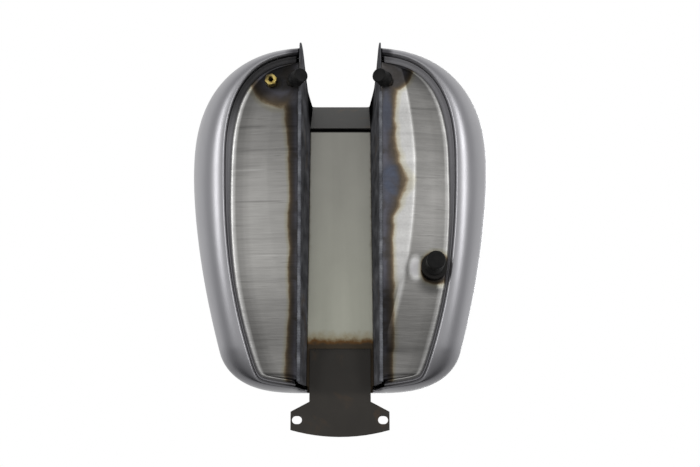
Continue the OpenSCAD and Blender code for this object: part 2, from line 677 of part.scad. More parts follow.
left_shell();
right_shell();
left_pan();
right_pan();
left_tunnel_wall();
right_tunnel_wall();
tunnel_roof();
neck_plate();
rear_tab();
left_tunnel_weld();
right_tunnel_weld();
tab_weld();
petcock_bung();
petcock_cap();
left_crossover_stub();
right_crossover_stub();
left_crossover_cap();
right_crossover_cap();
vent_fitting();
vent_standpipe();
left_filler_neck();
right_filler_neck();
left_cap_gasket();
right_cap_gasket();
left_filler_cap();
right_filler_cap();
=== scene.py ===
import math

import bmesh
import bpy
import numpy
from mathutils import Matrix, Vector, noise


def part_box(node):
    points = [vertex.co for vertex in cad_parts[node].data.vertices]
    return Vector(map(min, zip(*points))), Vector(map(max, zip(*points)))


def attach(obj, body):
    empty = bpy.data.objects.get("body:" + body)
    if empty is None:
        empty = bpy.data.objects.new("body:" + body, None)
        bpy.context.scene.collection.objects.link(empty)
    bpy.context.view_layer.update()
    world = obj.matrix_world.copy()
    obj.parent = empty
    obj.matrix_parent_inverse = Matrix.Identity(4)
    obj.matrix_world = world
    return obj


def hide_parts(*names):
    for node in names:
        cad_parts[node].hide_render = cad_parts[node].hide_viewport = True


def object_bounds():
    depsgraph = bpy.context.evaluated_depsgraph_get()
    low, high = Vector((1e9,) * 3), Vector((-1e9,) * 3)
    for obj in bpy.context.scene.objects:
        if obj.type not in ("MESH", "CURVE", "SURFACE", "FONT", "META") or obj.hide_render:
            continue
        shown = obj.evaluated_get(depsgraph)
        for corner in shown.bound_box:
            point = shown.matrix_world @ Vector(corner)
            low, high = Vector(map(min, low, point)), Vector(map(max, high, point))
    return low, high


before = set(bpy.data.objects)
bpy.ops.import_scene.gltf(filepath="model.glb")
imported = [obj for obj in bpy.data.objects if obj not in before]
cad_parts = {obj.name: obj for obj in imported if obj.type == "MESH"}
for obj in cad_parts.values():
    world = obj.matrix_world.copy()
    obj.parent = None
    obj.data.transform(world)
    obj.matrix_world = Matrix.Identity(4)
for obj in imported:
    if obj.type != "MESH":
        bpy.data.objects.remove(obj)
cad_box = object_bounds()

# The outer shells: two halves pressed from bare steel sheet, butted along the top of the tank and
# rolled in underneath, where the bottom pans are set into them. The faces are left as pressed, with
# faint draw marks, handling smears and a ground weld down the ridge.
SHEET = 0.0016
FIT = 0.00015
EDGE_GAP = 0.0004

# Widest outline of a half, seen from above, and the height at which it runs
BODY_HALF_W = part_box("left_shell")[1].x
WIDEST_Y = 0.335
NOSE_Y = 0.502
TAIL_Y = 0.036
NOSE_ROUND = (3.2, 2.45)
TAIL_ROUND = (5.0, 2.2)
SIDE_TAPER = 0.056
SIDE_CURVE = 1.7
CORNER_AT = 0.82
WIDEST_NOSE_Z = -0.015
WIDEST_TAIL_Z = 0.002
TAIL_LIFT = 0.006
LIFT_U = 2.4

# Arch over the tunnel at the tail
ARCH_AT = 2.8
ARCH_U = 2.84
ARCH_X = 0.058
ARCH_LAP = 0.002

# Ridge along the top, and the swell of the sheet above and below the widest line
TOP_Z = 0.100
RIDGE_Y = 0.340
RIDGE_TURN_Y = 0.110
RIDGE_END_Y = 0.062
RIDGE_CURVE = 2.2
NOSE_DROP = 0.044
TAIL_DROP = 0.078
EAR_Y = NOSE_Y - 0.020
CROWN = 2.3
BELLY = 1.8

# Rolled lower edge and the slope of the pans that it carries
SEAM_HALF_W = 0.157
SEAM_NOSE_Y = 0.484
SEAM_TAIL_Y = 0.039
SEAM_TAPER = 0.050
SEAM_CURVE = 2.4
SEAM_CORNER_Y = 0.046
CORNER_PULL = 4.0
SEAM_RISE = 0.006
ROLL_R = 0.0035
ROLL_H = 0.014
PAN_NOSE_DROP = 0.090
PAN_TAIL_DROP = 0.025

# Frame tunnel and front notch, which the shells leave free
MOUTH_HALF_W = 0.053
ROOF_TAIL_W = 0.045
ROOF_NOSE_W = 0.042
ROOF_Y = 0.402
ROOF_Z = 0.003
NOTCH_Y = 0.458
NOTCH_W = 0.051
NOTCH_ROOT_W = ROOF_NOSE_W - 0.001
NOTCH_U = 0.5
CENTRE_U = 2 / 3
WALL_OUT = SHEET + FIT
NOSE_X = (MOUTH_HALF_W + NOTCH_W) / 2 + WALL_OUT + EDGE_GAP

# Hole for the filler neck, on the top side only
FILLER = (0.086, -0.335)
FILLER_HOLE_R = 0.0295
TOP_SIDE = (0.05, 0.2)


def lerp(a, b, t):
    return a + (b - a) * t


def smooth(t):
    t = min(1.0, max(0.0, t))
    return t * t * (3 - 2 * t)


def power(base, exponent):
    return max(0.0, base) ** exponent


nose_angle = math.acos(power(NOSE_X / BODY_HALF_W, NOSE_ROUND[0] / 2))
tail_angle = math.acos(power(ARCH_X / (BODY_HALF_W - SIDE_TAPER), TAIL_ROUND[0] / 2))


def side_x(e):
    return BODY_HALF_W - SIDE_TAPER * power(e, SIDE_CURVE)


def rear_y(e):
    return -WIDEST_Y + e * (WIDEST_Y - TAIL_Y)


def outline(u):
    """Widest outline of a half seen from above, from the nose (0) round to the tail centre (3)."""
    if u < 1:
        a = nose_angle * (1 - u)
        x = BODY_HALF_W * power(math.cos(a), 2 / NOSE_ROUND[0])
        return Vector((x, -WIDEST_Y - (NOSE_Y - WIDEST_Y) * power(math.sin(a), 2 / NOSE_ROUND[1])))
    if u < 2:
        e = CORNER_AT * (u - 1)
        return Vector((side_x(e), rear_y(e)))
    a = tail_angle * min(1.0, (u - 2) / (ARCH_AT - 2))
    e = lerp(CORNER_AT, 1, power(math.sin(a), 2 / TAIL_ROUND[1]))
    corner = Vector((side_x(e) * power(math.cos(a), 2 / TAIL_ROUND[0]), rear_y(e)))
    t = max(0.0, (u - ARCH_AT) / (3 - ARCH_AT))
    return Vector((corner.x * (1 - t), lerp(corner.y, -TAIL_Y, t)))


SEAM_X0 = MOUTH_HALF_W + WALL_OUT + EDGE_GAP
SEAM_L = WIDEST_Y - SEAM_TAIL_Y


def seam_side(e):
    return Vector((SEAM_HALF_W - SEAM_TAPER * power(e, SEAM_CURVE), -WIDEST_Y + e * SEAM_L))


seam_turn = seam_side(CORNER_AT)
turn_slope = SEAM_TAPER * SEAM_CURVE * power(CORNER_AT, SEAM_CURVE - 1) / SEAM_L
seam_corner = Vector((seam_turn.x + turn_slope * (SEAM_CORNER_Y + seam_turn.y), -SEAM_CORNER_Y))
seam_end = Vector((SEAM_X0, -SEAM_TAIL_Y))


def seam(u):
    """Rolled lower edge of a half seen from above: round the nose, straight in to the tail corner."""
    if u < 1:
        m = outline(u)
        x = SEAM_X0 + (m.x - NOSE_X) * (SEAM_HALF_W - SEAM_X0) / (BODY_HALF_W - NOSE_X)
        return Vector((x, -WIDEST_Y + (m.y + WIDEST_Y) * (SEAM_NOSE_Y - WIDEST_Y) / (NOSE_Y - WIDEST_Y)))
    if u < 2:
        return seam_side(CORNER_AT * (u - 1))
    t = min(1.0, (u - 2) / (ARCH_AT - 2))
    p, q, r = (1 - t) ** 2, 2 * CORNER_PULL * t * (1 - t), t * t
    return (seam_turn * p + seam_corner * q + seam_end * r) / (p + q + r)


def inward(u):
    """Direction from the seam in towards the pan, seen from above."""
    step = 0.005
    d = (seam(min(ARCH_AT, u + step)) - seam(max(0.0, u - step))).normalized()
    return Vector((-d.y, d.x))


def along(y):
    """Place along the seam, from the tail (0) to the nose (1)."""
    return (-y - SEAM_TAIL_Y) / (SEAM_NOSE_Y - SEAM_TAIL_Y)


def pan_z(y):
    return -lerp(PAN_TAIL_DROP, PAN_NOSE_DROP, along(y))


def ridge_z(y):
    if y < -RIDGE_Y:
        return TOP_Z - NOSE_DROP * power((-y - RIDGE_Y) / (EAR_Y - RIDGE_Y), RIDGE_CURVE)
    return TOP_Z - TAIL_DROP * power((y + RIDGE_Y) / (RIDGE_Y - RIDGE_END_Y), 2)


def upper_w(y):
    """Half width between the tunnel walls at their upper edge."""
    if y > -ROOF_Y:
        return lerp(ROOF_TAIL_W, ROOF_NOSE_W, (-y - TAIL_Y) / (ROOF_Y - TAIL_Y))
    if y > -NOTCH_Y:
        return lerp(ROOF_NOSE_W, NOTCH_ROOT_W, (-y - ROOF_Y) / (NOTCH_Y - ROOF_Y))
    return lerp(NOTCH_ROOT_W, NOTCH_W, (-y - NOTCH_Y) / (EAR_Y - NOTCH_Y))


def top_edge(u):
    """Upper edge of a half: the notch side, the notch root, then the centre line to the tail."""
    x = 0
    if u <= NOTCH_U:
        y = lerp(-EAR_Y, -NOTCH_Y, u / NOTCH_U)
        x = upper_w(y) + WALL_OUT
    elif u <= CENTRE_U:
        y = -NOTCH_Y
        x = (NOTCH_ROOT_W + WALL_OUT) * (1 - (u - NOTCH_U) / (CENTRE_U - NOTCH_U))
    elif u <= 1:
        y = lerp(-NOTCH_Y, -WIDEST_Y, (u - CENTRE_U) / (1 - CENTRE_U))
    elif u <= 2:
        y = lerp(-WIDEST_Y, -RIDGE_TURN_Y, u - 1)
    else:
        y = lerp(-RIDGE_TURN_Y, -RIDGE_END_Y, u - 2)
    return Vector((x, y, ridge_z(y)))


def widest(u):
    m = outline(u)
    z = lerp(WIDEST_TAIL_Z, WIDEST_NOSE_Z, (-m.y - TAIL_Y) / (NOSE_Y - TAIL_Y))
    return Vector((m.x, m.y, z + TAIL_LIFT * smooth((u - LIFT_U) / (ARCH_AT - LIFT_U))))


def lower_edge(u):
    if u > ARCH_AT:
        x = lerp(upper_w(-TAIL_Y) + ARCH_LAP, 0, (u - ARCH_U) / (3 - ARCH_U))
        return Vector((x, -SEAM_TAIL_Y, ROOF_Z + SHEET + FIT))
    p = seam(u)
    return Vector((p.x, p.y, pan_z(p.y) + SEAM_RISE))


def bulge(p, q, angle, squareness):
    """Point on the superellipse quarter that leaves p upright and reaches q level."""
    h = 1 - power(math.cos(angle), 2 / squareness)
    v = power(math.sin(angle), 2 / squareness)
    return Vector((lerp(p.x, q.x, h), lerp(p.y, q.y, h), lerp(p.z, q.z, v)))


def rolled(u, angle):
    """Lower edge turned in by an angle; the arch at the tail has a tight hem instead."""
    p = lower_edge(u)
    n = inward(u) if u < ARCH_AT else Vector((0, -1))
    r = ROLL_R if u < ARCH_AT else SHEET + EDGE_GAP / 2
    x = p.x if u == 0 else p.x + n.x * r * math.sin(angle)
    return Vector((x, p.y + n.y * r * math.sin(angle), p.z + r * (1 - math.cos(angle))))


def roll_end(u):
    p = rolled(u, math.pi / 2)
    rise = ROLL_H if u < ARCH_AT else SHEET + EDGE_GAP
    return Vector((p.x, p.y, lower_edge(u).z + rise))


def steps(first, last, count):
    """Even places from the first on, without the last."""
    return [lerp(first, last, i / count) for i in range(count)]


nose_stations = steps(0, NOTCH_U, 42)[1:] + steps(NOTCH_U, 1, 42)
rear_stations = steps(1, 2, 70) + steps(2, ARCH_AT, 80) + [ARCH_AT]
shell_stations = [0] + nose_stations + rear_stations + steps(ARCH_U, 3, 12) + [3]


def placed(name, data):
    """A new object, put in the scene."""
    obj = bpy.data.objects.new(name, data)
    bpy.context.collection.objects.link(obj)
    return obj


def grid_piece(name, rows, layers=None, thickness=None, flip=False):
    """A smooth sheet through a grid of points, with named values stored at its points."""
    cols = len(rows[0])
    mesh = bpy.data.meshes.new(name)
    quads = []
    for i in range(len(rows) - 1):
        for j in range(cols - 1):
            a = i * cols + j
            corners = (a, a + cols, a + cols + 1, a + 1) if flip else (a, a + 1, a + cols + 1, a + cols)
            quads.append(corners)
    mesh.from_pydata([tuple(p) for row in rows for p in row], [], quads)
    for layer, values in (layers or {}).items():
        mesh.attributes.new(layer, "FLOAT", "POINT").data.foreach_set("value", values)
    mesh.shade_smooth()
    piece = placed(name, mesh)
    if thickness:
        solid = piece.modifiers.new("sheet", "SOLIDIFY")
        solid.thickness = thickness
        solid.offset = -1
    return piece


def cut_discs(piece, discs):
    """Opens round holes along Z in a sheet, so that a fitting passes through it."""
    shape = bmesh.new()
    shape.from_mesh(piece.data)
    shape.normal_update()
    for place, radius, low, high in discs:
        centre = Vector(place)
        near = [v for v in shape.verts
                if low < v.co.z < high and (v.co.xy - centre).length < 1.6 * radius]
        gone = [v for v in near if (v.co.xy - centre).length < radius]
        edge = [v for v in near if v not in gone and any(e.other_vert(v) in gone for e in v.link_edges)]
        bmesh.ops.delete(shape, geom=gone, context="VERTS")
        for v in edge:
            reach = v.co.xy - centre
            shift = reach.normalized() * radius - reach
            v.co += Vector((*shift, -v.normal.xy.dot(shift) / v.normal.z))
    shape.to_mesh(piece.data)
    shape.free()


class Shade:
    """One socket of a material; arithmetic on it adds Math nodes."""

    def __init__(self, tree, socket=None):
        self.tree = tree
        self.socket = socket

    def node(self, kind, settings=None, inputs=None, out=0):
        """Any node: settings first, then the values or links of its sockets."""
        n = self.tree.nodes.new(kind)
        for key, value in (settings or {}).items():
            if key == "stops":
                ramp = n.color_ramp
                while len(ramp.elements) < len(value):
                    ramp.elements.new(1.0)
                for element, (place, colour) in zip(ramp.elements, value):
                    element.position = place
                    element.color = (*colour, 1.0)
            else:
                setattr(n, key, value)
        for key, value in (inputs or {}).items():
            self.plug(n.inputs[key], value)
        return Shade(self.tree, n.outputs[out])

    def plug(self, target, value):
        if isinstance(value, Shade):
            self.tree.links.new(value.socket, target)
        elif isinstance(value, tuple) and len(value) == 3 and target.type == "RGBA":
            target.default_value = (*value, 1.0)
        else:
            target.default_value = value

    def math(self, operation, *values):
        return self.node("ShaderNodeMath", {"operation": operation}, dict(enumerate(values)))

    def __add__(self, other):
        return self.math("ADD", self, other)

    __radd__ = __add__

    def __sub__(self, other):
        return self.math("SUBTRACT", self, other)

    def __rsub__(self, other):
        return self.math("SUBTRACT", other, self)

    def __mul__(self, other):
        return self.math("MULTIPLY", self, other)

    __rmul__ = __mul__

    def rise(self, low, high):
        """0 below low, 1 above high, smooth between; low may be the larger."""
        return self.node("ShaderNodeMapRange", {"interpolation_type": "SMOOTHSTEP"},
                         {"Value": self, "From Min": low, "From Max": high})

    def ramp(self, stops):
        return self.node("ShaderNodeValToRGB", {"stops": stops}, {"Fac": self})

    def mix(self, a, b):
        """Colour a where this is 0, b where it is 1."""
        return self.node("ShaderNodeMix", {"data_type": "RGBA"}, {0: self, 6: a, 7: b}, out=2)


class Finish(Shade):
    """A material under construction: coordinates, noises and the shader's own sockets."""

    def __init__(self, name, **constants):
        self.material = bpy.data.materials.new(name)
        self.material.use_nodes = True
        super().__init__(self.material.node_tree)
        self.shader = self.tree.nodes["Principled BSDF"]
        for key, value in constants.items():
            self.set(key.replace("_", " ").title().replace("Ior", "IOR"), value)
        self.place = self.node("ShaderNodeTexCoord", out=3)

    def set(self, socket, value):
        self.plug(self.shader.inputs[socket], value)

    def axis(self, index):
        return self.node("ShaderNodeSeparateXYZ", {}, {"Vector": self.place}, out=index)

    def noise(self, scale, detail=3.0, stretch=(1, 1, 1), rough=0.55, twist=0.0):
        place = self.node("ShaderNodeVectorMath", {"operation": "MULTIPLY"}, {0: self.place, 1: stretch})
        inputs = {"Vector": place, "Scale": scale, "Detail": detail, "Roughness": rough,
                  "Distortion": twist}
        return self.node("ShaderNodeTexNoise", {}, inputs)

    def scaled(self, colour, factor):
        """A colour made lighter or darker."""
        return self.node("ShaderNodeVectorMath", {"operation": "SCALE"}, {0: colour, "Scale": factor})

    def tinted(self, colour, tint):
        """One colour seen through another."""
        settings = {"data_type": "RGBA", "blend_type": "MULTIPLY"}
        return self.node("ShaderNodeMix", settings, {0: 1.0, 6: colour, 7: tint}, out=2)

    def layer(self, name):
        return self.node("ShaderNodeAttribute", {"attribute_name": name}, out=2)

    def bump(self, height, strength, distance):
        inputs = {"Height": height, "Strength": strength, "Distance": distance}
        return self.node("ShaderNodeBump", {}, inputs)


PRESSED = (0.345, 0.343, 0.358)
GROUND_RIDGE = (0.24, 0.235, 0.225)
SCORCHED = (0.05, 0.048, 0.055)
# Painted shade for the underside of the shells at the tail
TAIL_BELLY_SHADE = (0.085, 0.084, 0.090)
# Painted shade in the groove between shell and pan: grey, and near black at the front of the groove on the
# rider's right
GROOVE_SHADE_GREY = (0.21, 0.207, 0.218)
GROOVE_DEEP_SHADE = (0.035, 0.034, 0.036)


def pressed_steel():
    f = Finish("pressed_steel")
    y, z = f.axis(1), f.axis(2)
    x_squared = f.axis(0) * f.axis(0)
    cloud = f.noise(14, 4)
    draw = f.noise(90, 3, stretch=(1.0, 0.06, 1.0))
    grit = f.noise(1400, 2)
    smear = f.noise(34, 4, stretch=(1.0, 0.35, 1.0), twist=0.6)
    tone = 0.93 + 0.12 * cloud + 0.05 * draw
    groove = f.layer("groove")
    # painted shade: the groove is painted darker, near black where its deepest painted shade lies
    base = groove.mix(f.scaled(PRESSED, tone), f.layer("soot").mix(GROOVE_SHADE_GREY, GROOVE_DEEP_SHADE))
    ridge = x_squared.rise(0.008 ** 2, 0.003 ** 2) * z.rise(0.0, 0.02)
    base = (ridge * 0.6).mix(base, GROUND_RIDGE)
    scorch = (x_squared + 0.0024 * (smear - 0.5)).rise(0.0056, 0.0038) * y.rise(-0.455, -0.475)
    base = (scorch * z.rise(0.02, -0.02) * 0.9).mix(base, SCORCHED)
    # painted shade: the lower side of the shell is darkened towards the tail
    darkening = (y + 0.03 * (smear - 0.5)).rise(-0.105, -0.055) * z.rise(0.014, -0.010)
    base = (darkening * 0.7).mix(base, TAIL_BELLY_SHADE)
    f.set("Base Color", base)
    f.set("Metallic", 1.0 - 0.85 * groove)
    f.set("Roughness", 0.30 + 0.12 * smear + 0.05 * grit + 0.3 * groove)
    f.set("Normal", f.bump(grit * 0.4 + draw * 0.8, 0.10, 0.0004))
    return f.material


shell_finish = pressed_steel()


CROWN_STEPS = 64
BELLY_STEPS = 30
ROLL_ANGLES = (15, 30, 45, 60, 75, 90)
ROLL_DEPTHS = [0.12, 0.5, 0.9, 1.0, 1.0]
CORNERS_U = (0.6, 2)
EASE_REACH = 0.3
EASE_ROUNDS = 400
# Where the painted shade in the groove turns near black, and over what length
DEEP_SHADE_Y = 0.36
DEEP_SHADE_FADE = 0.07


def faired(rows):
    """The crown with its runs eased past the notch corner and the tail corner; its edges stay."""
    grid = numpy.array([[tuple(p) for p in row] for row in rows])
    near = [max(math.exp(-((u - at) / EASE_REACH) ** 2) for at in CORNERS_U) for u in shell_stations]
    inside = [smooth(i / 10) * smooth((CROWN_STEPS - i) / 12) for i in range(CROWN_STEPS + 1)]
    ease = 0.5 * numpy.outer(inside, near)[:, 1:-1, None]
    for _ in range(EASE_ROUNDS):
        grid[:, 1:-1] += ease * ((grid[:, :-2] + grid[:, 2:]) / 2 - grid[:, 1:-1])
    return [[Vector(p) for p in row] for row in grid.tolist()]


def shell_rows():
    """Rows of points from the ridge over the widest line to the end of the rolled edge."""
    rows = faired([[bulge(widest(u), top_edge(u), math.radians(90 * (1 - i / CROWN_STEPS)), CROWN)
                    for u in shell_stations] for i in range(CROWN_STEPS + 1)])
    rows += [[bulge(widest(u), lower_edge(u), math.radians(90 * i / BELLY_STEPS), BELLY)
              for u in shell_stations] for i in range(1, BELLY_STEPS + 1)]
    rows += [[rolled(u, math.radians(a)) for u in shell_stations] for a in ROLL_ANGLES]
    return rows + [[roll_end(u) for u in shell_stations]]


def deep_groove_shading(y, side):
    """How black the groove is painted: painted shade, near black, lies in the front of the groove on the
    rider's right.
    """
    return smooth((-y - DEEP_SHADE_Y) / DEEP_SHADE_FADE) if side < 0 else 0.0


def mirrored(rows, side):
    """A half as it lies on the rider's left (1) or right (-1)."""
    return [[Vector((p.x * side, p.y, p.z)) for p in row] for row in rows]


def dress(piece, node, finish, body="tank"):
    """Puts a finished piece in the place of its plain solid."""
    piece.data.materials.append(finish)
    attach(piece, body)
    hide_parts(node)


half = shell_rows()
depths = [0.0] * (len(half) - len(ROLL_DEPTHS)) + ROLL_DEPTHS
for side, name in ((1, "left_shell"), (-1, "right_shell")):
    layers = {
        "groove": [depth if u < ARCH_AT else 0.0 for depth in depths for u in shell_stations],
        "soot": [deep_groove_shading(p.y, side) for row in half for p in row],
    }
    piece = grid_piece(name + "_skin", mirrored(half, side), layers, SHEET, flip=side > 0)
    cut_discs(piece, [((FILLER[0] * side, FILLER[1]), FILLER_HOLE_R, *TOP_SIDE)])
    dress(piece, name, shell_finish)


# The bottom pans: one bare sheet set into each shell, its rim turned up and its flange closing the
# groove. They are ground across their width, blued and browned along the tunnel weld and at each
# fitting. The pan on the rider's left has a pressed crease along the tunnel.
PAN_X0 = MOUTH_HALF_W + WALL_OUT
PAN_RISE = 0.010
PILLOW = 0.0008
DENT = 0.00035
UNDERSIDE = (-0.2, 0.1)

# Groove between the rolled edge of the shell and the rim of the pan
GROOVE_NOSE_W = 0.0135
GROOVE_TAIL_W = 0.0075
GROOVE_FOOT = 0.0112
GROOVE_COVE = 0.0030
RIM_R = 0.004
RIM_TIP_W = 0.004

# Crease of the pan on the rider's left
CREASE_X = 0.096
CREASE_NOSE_IN = 0.012
CREASE_NOSE_L = 0.105
CREASE_TAIL_IN = 0.042
CREASE_DROP = 0.006
CREASE_END_Y = 0.085
CREASE_MIN_W = 0.008
CREASE_MAX_SHARE = 0.75

pan_stations = [0.012] + nose_stations[1:] + rear_stations


def middle(node):
    low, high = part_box(node)
    return (low + high) / 2


PETCOCK = tuple(middle("petcock_bung").xy)
VENT = tuple(middle("vent_fitting").xy)
STUB = (0.064, VENT[1])
PETCOCK_HOLE_R = 0.014
VENT_HOLE_R = 0.005
STUB_HOLE_R = 0.0055


def groove_w(u):
    return lerp(GROOVE_TAIL_W, GROOVE_NOSE_W, max(0.0, min(1.0, along(seam(u).y) * 2 - 0.6)))


def rim_edge(u, extra):
    p = seam(u) + inward(u) * (groove_w(u) + extra)
    return Vector((max(p.x, PAN_X0 + RIM_TIP_W), p.y))


def floor_z(y):
    return pan_z(y) + PAN_RISE


def crease_x(y):
    if y < -WIDEST_Y:
        return CREASE_X - CREASE_NOSE_IN * power((-y - WIDEST_Y) / CREASE_NOSE_L, 1.5)
    return CREASE_X - CREASE_TAIL_IN * power((y + WIDEST_Y) / (WIDEST_Y - CREASE_END_Y), 2.1)


def floor_point(u, t, fold):
    """Point of the sheet between the tunnel mouth (0), the crease (0.5) and the rim (1)."""
    r = rim_edge(u, RIM_R)
    w = r.x - PAN_X0
    c = min(CREASE_MAX_SHARE, max(CREASE_MIN_W, crease_x(r.y) - PAN_X0) / w)
    s = lerp(0, c, t * 2) if t < 0.5 else lerp(c, 1, t * 2 - 1)
    share = min(1.0, max(0.0, (-r.y - CREASE_END_Y) / (SEAM_NOSE_Y - CREASE_END_Y)))
    dip = fold * power(math.sin(math.pi * share), 0.6) * (1 - abs(t * 2 - 1))
    return Vector((lerp(PAN_X0, r.x, s), r.y, lerp(pan_z(r.y), floor_z(r.y), s) - dip))


def rim_point(u, angle):
    o = rim_edge(u, RIM_R)
    n = inward(u)
    x = max(PAN_X0 + RIM_TIP_W, o.x - n.x * RIM_R * math.sin(angle))
    return Vector((x, o.y - n.y * RIM_R * math.sin(angle), floor_z(o.y) + RIM_R * (1 - math.cos(angle))))


COVE_STEPS = 8
RIM_ANGLES = (60, 45, 30, 15)
RIM_ROWS = COVE_STEPS + len(RIM_ANGLES)
PAN_STEPS = 48


def cove(u, share):
    """Bottom of the groove, brazed round from the rolled edge of the shell (0) to the rim (1)."""
    p = seam(u) + inward(u) * (ROLL_R + 2 * FIT)
    foot = Vector((max(PAN_X0 + RIM_TIP_W, p.x), p.y, pan_z(rim_edge(u, RIM_R).y) + GROOVE_FOOT))
    p = foot.lerp(rim_point(u, math.radians(RIM_ANGLES[0])), share)
    return p + Vector((0, 0, GROOVE_COVE * math.sin(math.pi * share)))


def pan_rows(fold):
    """Rows from the groove over the rim to the tunnel mouth, each with its groove depth and place."""
    rows = [([cove(u, k / COVE_STEPS) for u in pan_stations], 1.0, 2) for k in range(COVE_STEPS)]
    for a in RIM_ANGLES:
        rows.append(([rim_point(u, math.radians(a)) for u in pan_stations], power(a / 90, 2.4), 1 + a / 90))
    for i in range(PAN_STEPS + 1):
        t = 1 - i / PAN_STEPS
        rows.append(([floor_point(u, t, fold) for u in pan_stations], 0.0, t))
    return rows


def dent(p):
    """Shallow hollows left by handling, none at the tunnel weld."""
    broad = noise.noise(Vector((p.x * 22, p.y * 14, 4.0)))
    short = noise.noise(Vector((p.x * 48, p.y * 60, 8.0)))
    return DENT * smooth((abs(p.x) - PAN_X0) / 0.015) * (broad + 0.3 * short)


def away(p, centre, axes):
    """Distance from the middle of an oval patch, 1 at its edge."""
    return math.hypot((abs(p.x) - centre[0]) / axes[0], (p.y - centre[1]) / axes[1])


def spot(p, centre, axes, crisp=1.5):
    """1 in the middle of an oval patch, 0 outside it."""
    return smooth(crisp * (1 - away(p, centre, axes)))


# Patches by their centre and half axes: painted glints beside and below the outlet, painted shadow below
# it, and a patch made lighter behind the vent
GLINT_BESIDE = ((0.0990, -0.1945), (0.0125, 0.0195))
GLINT_BELOW = ((0.1345, -0.1725), (0.0090, 0.0055))
SHADOW_BELOW_OUTLET = ((0.121, -0.1735), (0.026, 0.0170))
LIGHTER_BEHIND_VENT = ((0.079, -0.4175), (0.030, 0.0170))


def facet(p, t, side):
    """Where the sheet is ground bright inside the crease, partly a painted highlight, with painted
    highlights along the rim and on the crease line and painted glints beside and below the outlet.
    """
    rim = smooth(1.5 * (1 - abs(t - 1.25) / 0.5)) if t > 1 else 0.84 * smooth((t - 0.96) / 0.04)
    if side < 0:
        return 0.75 * rim
    rim *= 0.45
    ground = smooth((0.55 - t) / 0.04) * smooth((-p.y - 0.15) / 0.05)
    crease_highlight = 0.55 * smooth(1.6 - abs(t - 0.5) / 0.035) * smooth((-p.y - 0.085) / 0.03)
    return max(rim, ground, crease_highlight, 2.2 * spot(p, *GLINT_BESIDE), 0.8 * spot(p, *GLINT_BELOW))


def waver(y, seed):
    """Unsteadiness of the edge of a heat mark."""
    return noise.noise(Vector((seed, y * 30, 0.5))) + 0.6 * noise.noise(Vector((seed, y * 85, 2.5)))


def through_points(points, at):
    """Smooth run through (place, value) pairs."""
    if at <= points[0][0]:
        return points[0][1]
    for (a, va), (b, vb) in zip(points, points[1:]):
        if at <= b:
            return lerp(va, vb, smooth((at - a) / (b - a)))
    return points[-1][1]


# How bright the sheet is painted along each pan, and how much of that is left towards its rim: painted
# reflection, with painted shade towards the rim
REFLECTION_ALONG = {
    1: [(-0.37, 0.74), (-0.335, 0.77), (-0.284, 0.95), (-0.23, 1.00), (-0.18, 1.08), (-0.142, 0.92),
        (-0.10, 0.90), (-0.07, 1.02), (-0.05, 1.50)],
    -1: [(-0.42, 0.72), (-0.374, 0.88), (-0.335, 1.13), (-0.284, 1.42), (-0.232, 1.44), (-0.181, 1.50),
         (-0.142, 1.12), (-0.103, 0.94), (-0.071, 1.16), (-0.050, 1.70)],
}
REFLECTION_TOWARD_RIM = {
    1: [(0.004, 0.80), (0.012, 0.88), (0.020, 1.0)],
    -1: [(0.004, 0.66), (0.010, 0.72), (0.0155, 0.86), (0.024, 1.0)],
}


def worn(p, rim_x, side):
    """Painted reflection and shade: how bright the sheet is painted here, 1 as it was ground."""
    # painted shadow below the outlet on the left pan; a patch made lighter behind the vent on the right pan
    patch = 1 + 1.3 * spot(p, *LIGHTER_BEHIND_VENT) if side < 0 else 1 - 0.6 * spot(p, *SHADOW_BELOW_OUTLET)
    lengthwise = through_points(REFLECTION_ALONG[side], p.y)
    return patch * lengthwise * through_points(REFLECTION_TOWARD_RIM[side], rim_x - abs(p.x))


# Reach of the heat of the tunnel weld into each pan, station by station
WELD_REACH = {
    1: [(-0.45, 0.030), (-0.39, 0.025), (-0.36, 0.027), (-0.335, 0.036), (-0.308, 0.046), (-0.280, 0.034),
        (-0.255, 0.022), (-0.22, 0.020), (-0.18, 0.023), (-0.13, 0.022), (-0.05, 0.020)],
    -1: [(-0.45, 0.040), (-0.39, 0.024), (-0.33, 0.019), (-0.29, 0.015), (-0.26, 0.020), (-0.20, 0.017),
         (-0.14, 0.018), (-0.05, 0.022)],
}
# Torch marks round the fittings, and patches that came out blue
TORCH_MARKS = {
    1: [((0.071, -0.458), (0.031, 0.037)), ((0.1258, -0.1945), (0.0240, 0.0260))],
    -1: [((0.080, -0.454), (0.048, 0.054))],
}
BLUE_PATCH = ((0.066, -0.306), (0.016, 0.036))
BLUE_STRIP = ((0.062, -0.395), (0.010, 0.045))


def weld_heat(p, side):
    """How hot the sheet ran here when it was welded, 0 to 1."""
    d = abs(p.x) - PAN_X0
    reach = through_points(WELD_REACH[side], p.y) * (1 + 0.11 * waver(p.y, side * 3.1))
    heat = max(0.0, 1 - d / reach)
    for centre, axes in TORCH_MARKS[side]:
        far = away(p, centre, axes) * (1 + 0.12 * waver(p.y + abs(p.x), side * 7.7))
        heat = max(heat, min(1.0, 1.6 * (1 - far)))
    return heat


def blueing(p, side):
    """Where the sheet came out blue beside the tunnel weld."""
    if side < 0:
        return 0.0
    return max(spot(p, *BLUE_PATCH, 1.6), 0.6 * spot(p, *BLUE_STRIP, 1.6))


GROUND = (0.222, 0.218, 0.209)
# Share of the steel's own colour that is left, from cold to hottest
HEAT_COLOURS = [
    (0.00, (1.0, 1.0, 1.0)),
    (0.07, (0.98, 0.97, 0.90)),
    (0.22, (0.90, 0.86, 0.72)),
    (0.28, (0.58, 0.48, 0.34)),
    (0.35, (0.27, 0.21, 0.145)),
    (0.46, (0.165, 0.135, 0.105)),
    (0.66, (0.145, 0.135, 0.145)),
    (0.82, (0.185, 0.185, 0.225)),
    (1.00, (0.15, 0.15, 0.165)),
]


